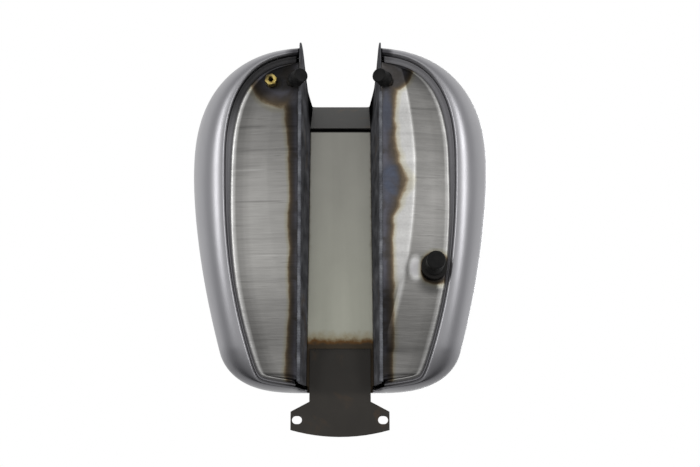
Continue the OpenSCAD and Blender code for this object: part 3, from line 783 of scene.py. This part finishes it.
def ground_steel():
    f = Finish("ground_steel")
    fine = f.noise(620, 3, stretch=(0.03, 1.0, 0.2), rough=0.7)
    lines = f.noise(230, 3, stretch=(0.035, 1.0, 0.2), rough=0.75, twist=0.15)
    bands = f.noise(75, 4, stretch=(0.09, 1.0, 0.2), twist=0.3)
    cloud = f.noise(9, 4, twist=0.6)
    blotch = f.noise(28, 5, twist=1.0)
    ragged = f.noise(55, 6, rough=0.65, twist=0.4)
    hot = f.layer("weld_heat")
    heat = hot + 0.24 * (ragged - 0.5) * hot.rise(0.0, 0.22)
    scratch = lines.rise(0.58, 0.70) * bands.rise(0.40, 0.58)
    tone = 0.30 + 0.30 * fine + 0.56 * lines + 0.36 * bands + 0.28 * cloud
    steel = (scratch * 0.45).mix(f.scaled(GROUND, tone), (0.07, 0.068, 0.065))
    strokes = f.noise(130, 2, stretch=(0.014, 1.0, 0.2), twist=0.1)
    patchy = cloud.rise(0.38, 0.58)
    steel = (strokes.rise(0.60, 0.72) * patchy * 0.4).mix(steel, (0.06, 0.058, 0.056))
    steel = (strokes.rise(0.38, 0.28) * patchy * 0.3).mix(steel, (0.42, 0.415, 0.40))
    # painted reflection and shade: lighter or darker along each pan, darker towards the rim and below the
    # outlet
    steel = f.scaled(steel, f.layer("worn"))
    grit = f.noise(330, 4, rough=0.7)
    # ground bright metal inside the crease, with painted highlights along the rim and on the crease line
    bright = f.layer("facet") * (0.20 + 0.75 * bands + 0.40 * grit)
    steel = bright.mix(steel, (0.78, 0.775, 0.76))
    # painted glints beside and below the outlet: near white and less metallic
    painted_glint = f.layer("facet").rise(1.0, 2.2)
    steel = (painted_glint * (0.45 + 1.1 * grit)).mix(steel, (0.97, 0.96, 0.965))
    tint = heat.ramp(HEAT_COLOURS)
    dull = blotch.rise(0.42, 0.62) * heat.rise(0.40, 0.60)
    tint = (dull * 0.8).mix(tint, (0.11, 0.10, 0.092))
    tint = (f.layer("blueing") * blotch.rise(0.25, 0.65)).mix(tint, (0.165, 0.19, 0.265))
    # painted shade: the groove is painted darker, near black where its deepest painted shade lies
    groove = f.layer("groove").rise(0.05, 0.75)
    f.set("Base Color", groove.mix(f.tinted(steel, tint), f.layer("soot").mix(GROOVE_SHADE_GREY, GROOVE_DEEP_SHADE)))
    f.set("Metallic", 1.0 - 0.85 * groove - 0.8 * painted_glint)
    f.set("Roughness", 0.30 + 0.14 * fine + 0.10 * blotch + 0.3 * groove)
    f.set("Normal", f.bump(fine * 0.6 + lines * 0.7 + bands * 0.9, 0.30, 0.0006))
    return f.material


pan_finish = ground_steel()
for side, name, fold in ((1, "left_pan", CREASE_DROP), (-1, "right_pan", PILLOW)):
    rows = pan_rows(fold)
    points = mirrored([row for row, depth, t in rows], side)
    for row in points[RIM_ROWS:]:
        for p in row:
            p.z += dent(p)
    layers = {
        "groove": [depth for row, depth, t in rows for p in row],
        "soot": [deep_groove_shading(p.y, side) for row, depth, t in rows for p in row],
        "blueing": [blueing(p, side) for row in points for p in row],
        "weld_heat": [weld_heat(p, side) for row in points for p in row],
        "facet": [facet(p, t, side) for row, depth, t in rows for p in row],
        "worn": [worn(p, rim.x, side) for row, depth, t in rows for p, rim in zip(row, rows[RIM_ROWS][0])],
    }
    piece = grid_piece(name + "_sheet", points, layers, SHEET, flip=side < 0)
    fitting = (PETCOCK, PETCOCK_HOLE_R) if side > 0 else (VENT, VENT_HOLE_R)
    cut_discs(piece, [((STUB[0] * side, STUB[1]), STUB_HOLE_R, *UNDERSIDE), (*fitting, *UNDERSIDE)])
    dress(piece, name, pan_finish)


# The tunnel walls: flat upright sheets between roof and pans, scaled dark by the welding and painted near
# black as shade at their upper front, beside the notch.
# In front they run up to the top skin beside the notch and end in thin sheared ears past the shells.
EAR = 0.008
WALL_LAP = 0.0005
ROOF_END_Y = ROOF_Y + WALL_LAP
WALL_END_Y = SEAM_TAIL_Y + 0.006
wall_edge = [bulge(widest(0), lower_edge(0), math.radians(a), BELLY) for a in range(90, -1, -6)]
wall_edge += [bulge(widest(0), top_edge(0), math.radians(a), CROWN) for a in range(15, 91, 15)]
wall_share = [(p.z - wall_edge[0].z) / (wall_edge[-1].z - wall_edge[0].z) for p in wall_edge]
wall_stations = [NOTCH_Y, lerp(NOTCH_Y, ROOF_END_Y, 0.5)]
wall_stations += [lerp(ROOF_END_Y, WALL_END_Y, i / 4) for i in range(5)]
wall_feet = [lerp(SEAM_NOSE_Y, NOTCH_Y, 0.5)] + wall_stations
wall_heads = [lerp(EAR_Y, NOTCH_Y, 0.5)] + wall_stations


def upper_z(y):
    """Upper edge of a wall: along the roof, up to the notch root, then under the top skin."""
    if y > -ROOF_Y - 2 * WALL_LAP:
        return ROOF_Z
    if y > -NOTCH_Y:
        return lerp(ROOF_Z, ridge_z(-NOTCH_Y), (-y - ROOF_Y) / (NOTCH_Y - ROOF_Y))
    return ridge_z(y)


WALL_SCALE = [
    (0.30, (0.050, 0.050, 0.053)),
    (0.60, (0.115, 0.116, 0.124)),
    (0.80, (0.20, 0.205, 0.22)),
]


def scaled_steel():
    f = Finish("scaled_steel", metallic=0.0, specular_ior_level=0.0)
    flake = f.noise(46, 5)
    fine = f.noise(700, 3)
    rust = f.noise(24, 4, twist=0.8).rise(0.56, 0.75)
    tone = (rust * 0.5).mix(flake.ramp(WALL_SCALE), (0.115, 0.085, 0.055))
    # painted shade: the upper front of each wall, beside the notch, is painted near black
    painted_notch_shade = f.axis(2).rise(-0.030, 0.015) * f.axis(1).rise(-0.37, -0.42)
    f.set("Base Color", painted_notch_shade.mix(tone, (0.004, 0.004, 0.004)))
    f.set("Roughness", 0.55 + 0.25 * flake)
    f.set("Normal", f.bump(fine * 0.6 + flake, 0.15, 0.0006))
    return f.material


wall_finish = scaled_steel()
for side, name in ((1, "left_tunnel_wall"), (-1, "right_tunnel_wall")):
    rows = []
    for edge, share in zip(wall_edge, wall_share):
        row = [Vector((lerp(MOUTH_HALF_W, NOTCH_W, share) * side, edge.y - EAR, edge.z))]
        for foot_y, head_y in zip(wall_feet, wall_heads):
            foot = Vector((MOUTH_HALF_W, -foot_y, pan_z(-foot_y) - WALL_LAP))
            drop = SHEET + 2 * FIT if head_y == NOTCH_Y else 0
            head = Vector((upper_w(-head_y), -head_y, upper_z(-head_y) - drop))
            p = foot.lerp(head, share)
            row.append(Vector((p.x * side, p.y, p.z)))
        rows.append(row)
    piece = grid_piece(name + "_plate", rows, None, SHEET, flip=side > 0)
    piece.data.shade_flat()
    dress(piece, name, wall_finish)


# The tunnel roof: a flat cold-rolled sheet lying on the walls, a little wavy, yellowed by oil and
# scorched where the rear tab is welded to it.
ROOF_HALF_COLS = 14
ROOF_WAVE = 0.00012
SHOULDER = 0.00001


def oiled_sheet():
    f = Finish("oiled_sheet", metallic=1.0)
    ahead = 0.0 - f.axis(1)
    streak = f.noise(34, 4, stretch=(1.0, 0.07, 1.0), twist=0.3)
    cloud = f.noise(13, 4, twist=0.5)
    ragged = f.noise(95, 5)
    steel = ahead.rise(0.09, 0.40).mix((0.372, 0.374, 0.318), (0.345, 0.340, 0.306))
    steel = f.scaled(steel, 0.72 + 0.34 * streak + 0.22 * cloud)
    side_burn = (f.axis(0) * f.axis(0) + 0.0006 * (ragged - 0.5)).rise(0.00150, 0.00205)
    side_burn = side_burn * ahead.rise(0.14, 0.28)
    steel = (side_burn * 0.8).mix(steel, (0.085, 0.068, 0.045))
    straw = (ahead + 0.016 * (ragged - 0.5)).rise(0.1210, 0.1070)
    brown = (ahead + 0.018 * (ragged - 0.5)).rise(0.1120, 0.1030)
    edge = (ahead + 0.012 * (ragged - 0.5)).rise(0.1040, 0.0990)
    colour = (straw * 0.7).mix(steel, (0.23, 0.185, 0.095))
    colour = brown.mix(colour, (0.105, 0.055, 0.022))
    colour = edge.mix(colour, (0.060, 0.047, 0.033))
    # painted shadow: a near-black line along the front edge of the roof, under the neck plate
    lip = ahead.rise(0.3965, 0.3985)
    f.set("Base Color", lip.mix(colour, (0.003, 0.003, 0.003)))
    f.set("Roughness", 0.36 + 0.12 * streak + 0.15 * edge)
    f.set("Normal", f.bump(f.noise(900, 2) + 0.8 * streak, 0.14, 0.0004))
    return f.material


def roof_half_w(y):
    if y > -WALL_END_Y:
        return ROOF_TAIL_W - SHEET
    return lerp(ROOF_TAIL_W, ROOF_NOSE_W, (-y - WALL_END_Y) / (ROOF_Y - WALL_END_Y)) + SHEET


roof_rows = []
for y in steps(-ROOF_Y, -WALL_END_Y, 70) + [-WALL_END_Y, -WALL_END_Y + SHOULDER, -TAIL_Y]:
    row = []
    for k in range(2 * ROOF_HALF_COLS + 1):
        x = roof_half_w(y) * (k / ROOF_HALF_COLS - 1)
        wave = ROOF_WAVE * smooth((-y - 0.06) / 0.03) * (1 + noise.noise(Vector((x * 22, y * 9, 7.0))))
        row.append(Vector((x, y, ROOF_Z + FIT / 2 + wave)))
    roof_rows.append(row)
roof = grid_piece("roof_sheet", roof_rows, None, SHEET, flip=True)
dress(roof, "tunnel_roof", oiled_sheet())


# The rear tab and the neck plate: hot-rolled plate with its dark mill scale left on. The tab is
# sheared to shape, punched with two oval holes and welded flat under the roof.
# One mill scale at two levels, as painted light and shade: darker on the tab, lighter on the neck plate
TAB_SCALE_DARKER = (0.047, 0.042, 0.036)
NECK_SCALE_LIGHTER = (0.092, 0.090, 0.083)


def mill_scale(name, light):
    """Dark scale, with painted shade on the tab under the roof, and darker on the outlet, which has this
    finish too.
    """
    f = Finish(name, metallic=0.55)
    cloud = f.noise(22, 5, twist=0.5)
    fine = f.noise(800, 3)
    rust = f.noise(30, 4, twist=1.0).rise(0.55, 0.72)
    tone = cloud.ramp([(0.30, tuple(0.72 * c for c in light)), (0.70, light)])
    brown = tuple(c * k for c, k in zip(light, (1.7, 1.2, 0.8)))
    # painted shade on the part of the tab under the roof; the outlet, which shares this finish, is simply
    # darker
    roof_shade_and_dark_outlet = 0.3 * f.axis(1).rise(-0.028, -0.040) + 0.5 * f.axis(0).rise(0.090, 0.095)
    f.set("Base Color", roof_shade_and_dark_outlet.mix((rust * 0.45).mix(tone, brown), (0.004, 0.004, 0.004)))
    f.set("Roughness", 0.50 + 0.16 * cloud)
    f.set("Normal", f.bump(fine * 0.7 + cloud, 0.14, 0.0005))
    return f.material


def eased(node, width):
    """A plate with its sheared edges broken: the solid's own faces, bevelled."""
    shape = bmesh.new()
    shape.from_mesh(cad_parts[node].data)
    bmesh.ops.remove_doubles(shape, verts=shape.verts, dist=1e-6)
    bmesh.ops.dissolve_limit(shape, angle_limit=math.radians(2), verts=shape.verts, edges=shape.edges)
    mesh = bpy.data.meshes.new(node + "_plate")
    shape.to_mesh(mesh)
    shape.free()
    piece = placed(mesh.name, mesh)
    edges = piece.modifiers.new("edges", "BEVEL")
    edges.width = width
    edges.segments = 2
    edges.angle_limit = math.radians(40)
    return piece


tab_finish = mill_scale("mill_scale", TAB_SCALE_DARKER)
dress(eased("rear_tab", 0.0005), "rear_tab", tab_finish)
dress(eased("neck_plate", 0.0003), "neck_plate", mill_scale("neck_scale", NECK_SCALE_LIGHTER))


# The weld beads: gas-metal runs laid along the tunnel mouth and across the front of the tab, with
# overlapping ripples, blue-grey where the scale has lifted.
BEAD_R = 0.0028
BEAD_START_Y = 0.426
BEAD_END_Y = WALL_END_Y + 0.002
BEAD_STRAY = 0.0004
BEAD_OUT = 0.0006
BEAD_ARC = 8
RIPPLE = 0.0034
RIPPLE_STEPS = 6
TAB_BEAD_STEPS = 150
WELD_TONES = [
    (0.34, (0.075, 0.077, 0.088)),
    (0.52, (0.150, 0.155, 0.172)),
    (0.70, (0.25, 0.256, 0.275)),
]


def weld_metal():
    f = Finish("weld_metal", metallic=0.6)
    cloud = f.noise(60, 4)
    f.set("Base Color", cloud.ramp(WELD_TONES))
    f.set("Roughness", 0.52 + 0.16 * cloud)
    f.set("Normal", f.bump(f.noise(500, 3), 0.2, 0.0005))
    return f.material


def ripple(at, bow, seed):
    """Height of a bead: a row of overlapping drops, each a little different."""
    phase = (at / RIPPLE + 0.35 * bow) % 1.0
    return 0.84 + 0.10 * phase + 0.10 * noise.noise(Vector((seed, at * 90, 0)))


bead_finish = weld_metal()
for side, name in ((1, "left_tunnel_weld"), (-1, "right_tunnel_weld")):
    count = int((BEAD_START_Y - BEAD_END_Y) / RIPPLE * RIPPLE_STEPS)
    rows = []
    for k in range(BEAD_ARC + 1):
        a = math.pi * k / BEAD_ARC
        row = []
        for i in range(count + 1):
            y = lerp(-BEAD_START_Y, -BEAD_END_Y, i / count)
            r = BEAD_R * ripple(y, math.cos(a) ** 2, side)
            x = MOUTH_HALF_W + SHEET / 2 + BEAD_STRAY * noise.noise(Vector((side * 5, y * 50, 1)))
            row.append(Vector(((x + r * math.cos(a)) * side, y, pan_z(y) - BEAD_OUT - r * math.sin(a))))
        rows.append(row)
    dress(grid_piece(name + "_bead", rows, flip=side < 0), name, bead_finish)

low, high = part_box("tab_weld")
rows = []
for k in range(BEAD_ARC + 1):
    a = math.pi / 2 * k / BEAD_ARC
    row = []
    for i in range(TAB_BEAD_STEPS + 1):
        x = lerp(low.x, high.x, i / TAB_BEAD_STEPS)
        r = ripple(x, math.sin(2 * a), 9)
        y = high.y - (high.y - low.y) * r * math.sin(a)
        z = high.z - (high.z - low.z) * r * math.cos(a)
        row.append(Vector((x, y, z)))
    rows.append(row)
dress(grid_piece("tab_weld_bead", rows), "tab_weld", tab_finish)


# The petcock outlet: a steel collar welded into the left pan, with a threaded spigot below it and
# a black rubber cap pushed over the thread to keep dirt out.
SPIGOT_R = 0.0109
SPIGOT_BORE_R = 0.007
SPIGOT_L = 0.035
COLLAR_R = 0.017
THREADS = 14
THREAD_PITCH = 0.0015
THREAD_DEPTH = 0.0006
THREAD_START = 0.002
THREAD_END = 0.0235
CAP_LIP = 0.0008
CAP_LIP_H = 0.0017
CAP_END_T = 0.003
PETCOCK_CAP_WALL = 0.001


def rounded(points, radius):
    """A profile with its corners rounded off."""
    out = [Vector(points[0])]
    for a, b, c in zip(points, points[1:], points[2:]):
        a, b, c = Vector(a), Vector(b), Vector(c)
        r = min(radius, 0.45 * (a - b).length, 0.45 * (c - b).length)
        p, q = b + (a - b).normalized() * r, b + (c - b).normalized() * r
        out += [p * (1 - t) ** 2 + b * 2 * t * (1 - t) + q * t * t for t in (0, 0.25, 0.5, 0.75, 1)]
    return out + [Vector(points[-1])]


def turned(name, profile, base, axis=(0, 0, 1), sides=72, shape=None):
    """A round piece: (radius, height) pairs swept about an axis; shape may change the radius."""
    up = Vector(axis).normalized()
    across = up.orthogonal().normalized()
    other = up.cross(across)
    turn = [2 * math.pi * k / sides for k in range(sides + 1)]
    rows = []
    for r, h in profile:
        reach = [shape(r, h, a) if shape else r for a in turn]
        rows.append([Vector(base) + up * h + (across * math.cos(a) + other * math.sin(a)) * d
                     for a, d in zip(turn, reach)])
    piece = grid_piece(name, rows)
    closed = bmesh.new()
    closed.from_mesh(piece.data)
    bmesh.ops.remove_doubles(closed, verts=closed.verts, dist=1e-6)
    bmesh.ops.recalc_face_normals(closed, faces=closed.faces)
    closed.to_mesh(piece.data)
    closed.free()
    return piece


def black_rubber():
    f = Finish("black_rubber", metallic=0.0, specular_ior_level=0.14)
    dust = f.noise(120, 4)
    f.set("Base Color", dust.ramp([(0.35, (0.004, 0.004, 0.0042)), (0.75, (0.012, 0.0115, 0.011))]))
    f.set("Roughness", 0.36 + 0.22 * dust)
    f.set("Normal", f.bump(f.noise(900, 3), 0.12, 0.0004))
    return f.material


def rubber_cap(name, base, axis, radius, length, wall):
    """A push-on cap from its closed end: rounded end, plain skirt, thicker lip."""
    inner, lip = radius - wall, radius + CAP_LIP
    skirt = length - CAP_LIP_H
    outside = rounded([(0, 0), (radius, 0), (radius, skirt)], 0.0022)
    mouth = rounded([(radius, skirt), (lip, skirt + 0.0001), (lip, length), (inner, length)], 0.0006)
    inside = rounded([(inner, length), (inner, CAP_END_T), (0, CAP_END_T)], 0.001)
    return turned(name, outside + mouth + inside, base, axis)


rubber_finish = black_rubber()
low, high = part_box("petcock_bung")
tall = high.z - low.z
root_r = SPIGOT_R - THREAD_DEPTH
profile = [(SPIGOT_BORE_R, tall / 2), (SPIGOT_BORE_R, 0), (SPIGOT_R - 0.0008, 0)]
for i in range(THREADS):
    h = THREAD_START + THREAD_PITCH * i
    profile += [(root_r, h), (SPIGOT_R, h + THREAD_PITCH / 2)]
profile += [(root_r, THREAD_END), (SPIGOT_R, THREAD_END + THREAD_PITCH)]
profile += [(SPIGOT_R, SPIGOT_L), (COLLAR_R, SPIGOT_L)]
profile += [(COLLAR_R, tall), (SPIGOT_BORE_R, tall), (SPIGOT_BORE_R, tall / 2)]
outlet = turned("petcock_outlet", rounded(profile, 0.0005), (*PETCOCK, low.z))
dress(outlet, "petcock_bung", tab_finish)
low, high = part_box("petcock_cap")
cap_r = (high.x - low.x) / 2 - CAP_LIP
foot = (*PETCOCK, low.z)
cap = rubber_cap("petcock_rubber", foot, (0, 0, 1), cap_r, high.z - low.z, PETCOCK_CAP_WALL)
dress(cap, "petcock_cap", rubber_finish, "petcock_plug")


# The crossover outlets: a steel stub leaning inwards at each front corner of the tunnel mouth, with
# a raised ring at its tip to hold a hose, shipped under a thick rubber cap.
STUB_LEAN = math.radians(28)
STUB_R = 0.00635
STUB_BORE_R = 0.004
STUB_LOW = 0.025
STUB_UP = 0.009
STUB_CAP_R = 0.00985
STUB_CAP_L = 0.0190
STUB_CAP_WALL = 0.0032
STUB_CAP_PAST = 0.0033

for side, hand in ((1, "left"), (-1, "right")):
    name = hand + "_crossover"
    root = Vector((STUB[0] * side, STUB[1], pan_z(STUB[1]) + 0.001))
    down = Vector((-math.sin(STUB_LEAN) * side, 0, -math.cos(STUB_LEAN)))
    tall = STUB_LOW + STUB_UP
    profile = [(STUB_BORE_R, tall / 2), (STUB_BORE_R, 0), (STUB_R - 0.0006, 0), (STUB_R - 0.0005, 0.0022)]
    profile += [(STUB_R, 0.0034), (STUB_R - 0.0004, 0.0050), (STUB_R - 0.0004, 0.0150), (STUB_R, 0.0165)]
    profile += [(STUB_R, tall), (STUB_BORE_R, tall), (STUB_BORE_R, tall / 2)]
    stub = turned(name + "_tube", rounded(profile, 0.0004), root + down * STUB_LOW, -down)
    dress(stub, name + "_stub", tab_finish)
    foot = root + down * (STUB_LOW + STUB_CAP_PAST)
    cap = rubber_cap(name + "_rubber", foot, -down, STUB_CAP_R, STUB_CAP_L, STUB_CAP_WALL)
    dress(cap, name + "_cap", rubber_finish, hand + "_stub_plug")


# The vent: a brass hexagon fitting screwed into the right pan, drilled through, with a steel pipe
# pressed into its stem and run up to the air space.
HEX_R = 0.0085
HEX_H = 0.0118
HEX_FACE_R = 0.0070
HEX_BREAK = 0.0012
STEM_R = 0.0055
VENT_BORE_R = 0.003
VENT_MOUTH_R = 0.0044
PIPE_SEAT_R = 0.004
PIPE_SEAT_L = 0.006
PIPE_BORE_R = 0.0025
BRASS = [
    (0.30, (0.20, 0.13, 0.04)),
    (0.50, (0.62, 0.48, 0.15)),
    (0.80, (0.80, 0.68, 0.30)),
]


def turned_brass():
    f = Finish("turned_brass", metallic=1.0)
    stain = f.noise(160, 4)
    # darker towards the nose and the outer side of the fitting
    darkening = (f.axis(0) + f.axis(1) - sum(VENT)).rise(0.001, -0.009)
    f.set("Base Color", (darkening * 0.9).mix(stain.ramp(BRASS), (0.05, 0.038, 0.024)))
    f.set("Roughness", 0.24 + 0.2 * stain)
    f.set("Normal", f.bump(f.noise(700, 2, stretch=(0.1, 0.1, 1.0)), 0.1, 0.0003))
    return f.material


def hexagon(r, h, a):
    """Flats on the head of the fitting, chamfered where they meet its ends."""
    if r < STEM_R + 0.0002 or h > HEX_H + 0.0001:
        return r
    flat = HEX_R * math.cos(math.pi / 6) / math.cos((a % (math.pi / 3)) - math.pi / 6)
    return min(r, flat)


low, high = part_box("vent_fitting")
tall = high.z - low.z
profile = [(VENT_BORE_R, 0.009), (VENT_BORE_R, HEX_BREAK), (VENT_MOUTH_R, 0), (HEX_FACE_R, 0)]
profile += [(HEX_R, HEX_BREAK), (HEX_R, HEX_H - HEX_BREAK), (HEX_FACE_R, HEX_H), (STEM_R, HEX_H)]
profile += [(STEM_R, tall), (PIPE_SEAT_R, tall), (PIPE_SEAT_R, tall - PIPE_SEAT_L)]
profile += [(VENT_BORE_R, tall - PIPE_SEAT_L), (VENT_BORE_R, 0.009)]
fitting = turned("vent_hexagon", rounded(profile, 0.0003), (*VENT, low.z), sides=96, shape=hexagon)
dress(fitting, "vent_fitting", turned_brass())
low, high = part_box("vent_standpipe")
tall = high.z - low.z
pipe_r = (high.x - low.x) / 2
profile = [(PIPE_BORE_R, tall / 2), (PIPE_BORE_R, 0), (pipe_r, 0)]
profile += [(pipe_r, tall), (PIPE_BORE_R, tall), (PIPE_BORE_R, tall / 2)]
pipe = turned("vent_pipe", rounded(profile, 0.0004), (*VENT, low.z))
dress(pipe, "vent_standpipe", shell_finish)


# The fillers: turned steel necks welded into the top skin, each closed by a plated screw cap with
# a fluted edge on a flat rubber ring.
NECK_BORE_R = 0.0275
NECK_R = 0.031
NECK_L = 0.030
NECK_SEAT_R = 0.034
NECK_SEAT_T = 0.003
NECK_SLOPE = 0.002
RING_IN_R = 0.029
RING_OUT_R = 0.033
RING_LOW = 0.0003
RING_HIGH = 0.0028
CAP_R = 0.036
CAP_LOW = 0.0031
CAP_HIGH = 0.0161
CAP_T = 0.002
PLUG_R = 0.0267
PLUG_IN_R = 0.0237
PLUG_L = 0.014
FLUTES = 24
FLUTE = 0.0009


def bright_plate():
    f = Finish("bright_plate", metallic=1.0)
    haze = f.noise(40, 4)
    f.set("Base Color", haze.ramp([(0.3, (0.58, 0.59, 0.61)), (0.8, (0.68, 0.69, 0.71))]))
    f.set("Roughness", 0.07 + 0.10 * haze)
    f.set("Normal", f.bump(f.noise(300, 3), 0.015, 0.0003))
    return f.material


def fluted(r, h, a):
    """Shallow grip flutes round the skirt of the cap."""
    skirt = smooth((r - CAP_R + 0.0022) / 0.002) * smooth((CAP_HIGH - 0.003 - h) / 0.002)
    return r - FLUTE * skirt * power(math.cos(FLUTES * a), 1.5)


plate_finish = bright_plate()
for side, name in ((1, "left"), (-1, "right")):
    seat = (FILLER[0] * side, FILLER[1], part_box(name + "_filler_neck")[1].z)
    profile = [(NECK_BORE_R, -NECK_L / 2), (NECK_BORE_R, 0), (NECK_SEAT_R, 0), (NECK_SEAT_R, -NECK_SEAT_T)]
    profile += [(NECK_R, -NECK_SEAT_T - NECK_SLOPE), (NECK_R, -NECK_L), (NECK_BORE_R, -NECK_L)]
    profile += [(NECK_BORE_R, -NECK_L / 2)]
    neck = turned(name + "_neck", rounded(profile, 0.0006), seat)
    dress(neck, name + "_filler_neck", shell_finish)
    profile = [(RING_IN_R, 0.0015), (RING_IN_R, RING_LOW), (RING_OUT_R, RING_LOW), (RING_OUT_R, RING_HIGH)]
    profile += [(RING_IN_R, RING_HIGH), (RING_IN_R, 0.0015)]
    ring = turned(name + "_ring", rounded(profile, 0.0008), seat)
    dress(ring, name + "_cap_gasket", rubber_finish, name + "_gasket")
    profile = [(0, CAP_HIGH), (0.020, CAP_HIGH - 0.001), (0.032, CAP_HIGH - 0.0035)]
    profile += [(0.035, CAP_HIGH - 0.006), (CAP_R, CAP_HIGH - 0.008), (CAP_R, CAP_LOW), (PLUG_R, CAP_LOW)]
    profile += [(PLUG_R, -PLUG_L), (PLUG_IN_R, -PLUG_L), (PLUG_IN_R, CAP_LOW + CAP_T), (0, CAP_LOW + CAP_T)]
    cap = turned(name + "_cap", rounded(profile, 0.003), seat, sides=FLUTES * 10, shape=fluted)
    dress(cap, name + "_filler_cap", plate_finish, name + "_screw_cap")


# The studio: a white sweep all round, softer and darker below, two side strips for the long
# highlights on the shells, a lamp overhead, and a pale floor that is seen only from above.
def studio_world():
    world = bpy.data.worlds.new("studio")
    bpy.context.scene.world = world
    world.use_nodes = True
    s = Shade(world.node_tree)
    way = s.node("ShaderNodeTexCoord", out=0)
    height = s.node("ShaderNodeSeparateXYZ", {}, {"Vector": way}, out=2)
    rearward = s.node("ShaderNodeSeparateXYZ", {}, {"Vector": way}, out=1)
    glow = (height * 0.5 + 0.5).ramp([
        (0.000, (1.00, 1.00, 1.00)),
        (0.020, (0.92, 0.92, 0.92)),
        (0.045, (0.75, 0.75, 0.75)),
        (0.075, (0.45, 0.45, 0.45)),
        (0.150, (0.36, 0.36, 0.37)),
        (0.270, (0.36, 0.36, 0.37)),
        (0.480, (0.70, 0.70, 0.71)),
        (0.560, (1.00, 1.00, 1.00)),
    ])
    glow = (height.rise(-0.06, -0.25) * rearward.rise(0.15, 0.60) * 0.85).mix(glow, (0.02, 0.02, 0.02))
    glow = (height.rise(0.10, -0.10) * rearward.rise(-0.50, -0.85) * 0.7).mix(glow, (0.85, 0.85, 0.86))
    s.plug(s.tree.nodes["Background"].inputs["Color"], glow)


studio_world()


def soft_lamp(name, place, target, size, watts):
    lamp = bpy.data.lights.new(name, "AREA")
    lamp.shape = "RECTANGLE"
    lamp.size, lamp.size_y = size
    lamp.energy = watts
    obj = placed(name, lamp)
    obj.location = place
    obj.rotation_euler = (Vector(target) - Vector(place)).to_track_quat("-Z", "Y").to_euler()


MIDDLE = (0, -0.27, 0)
for side, name in ((1, "left_strip"), (-1, "right_strip")):
    soft_lamp(name, (1.08 * side, -0.40, -1.16), MIDDLE, (0.7, 0.34), 5.5)
soft_lamp("overhead", (0.3, -0.6, 1.6), MIDDLE, (1.2, 1.2), 22)
FLOOR_HALF = 14
FLOOR_Y = -0.3
FLOOR_GAP = 0.0005


def one_way_floor():
    low = cad_box[0][2] - FLOOR_GAP
    ends = (-FLOOR_HALF, FLOOR_HALF)
    floor = grid_piece("floor", [[Vector((x, y + FLOOR_Y, low)) for x in ends] for y in ends])
    f = Finish("pale_floor", base_color=(0.80, 0.80, 0.80), roughness=0.9)
    under = f.node("ShaderNodeNewGeometry", out=6)
    clear = f.node("ShaderNodeBsdfTransparent")
    cover = f.node("ShaderNodeMixShader", {}, {0: under, 1: Shade(f.tree, f.shader.outputs[0]), 2: clear})
    f.plug(f.tree.nodes["Material Output"].inputs["Surface"], cover)
    floor.data.materials.append(f.material)
    for rays in ("shadow", "glossy", "diffuse", "transmission"):
        setattr(floor, "visible_" + rays, False)


one_way_floor()

# The camera: below the tank and a little behind it, with the nose at the top of the picture. It is
# set by the place of the bolt holes of the tab in the picture.
SENSOR = 36
PICTURE = (700, 467)
FOCAL_PX = 1278
TILT = math.radians(14)
BOLTS_PX = (340, 420)
BOLTS_AWAY = 1.676
back = Vector((0, math.sin(TILT), -math.cos(TILT)))
up = Vector((0, -math.cos(TILT), -math.sin(TILT)))
right = Vector((1, 0, 0))
camera = placed("camera", bpy.data.cameras.new("camera"))
camera.data.sensor_fit = "HORIZONTAL"
camera.data.sensor_width = SENSOR
camera.data.lens = FOCAL_PX * SENSOR / PICTURE[0]
across = (BOLTS_PX[0] - PICTURE[0] / 2) / FOCAL_PX * BOLTS_AWAY
down = (BOLTS_PX[1] - PICTURE[1] / 2) / FOCAL_PX * BOLTS_AWAY
eye = back * BOLTS_AWAY - right * across + up * down
camera.matrix_world = Matrix((right, up, back)).transposed().to_4x4()
camera.location = eye
camera.data.clip_end = 50
bpy.context.scene.camera = camera

bpy.context.scene.view_settings.view_transform = "Standard"
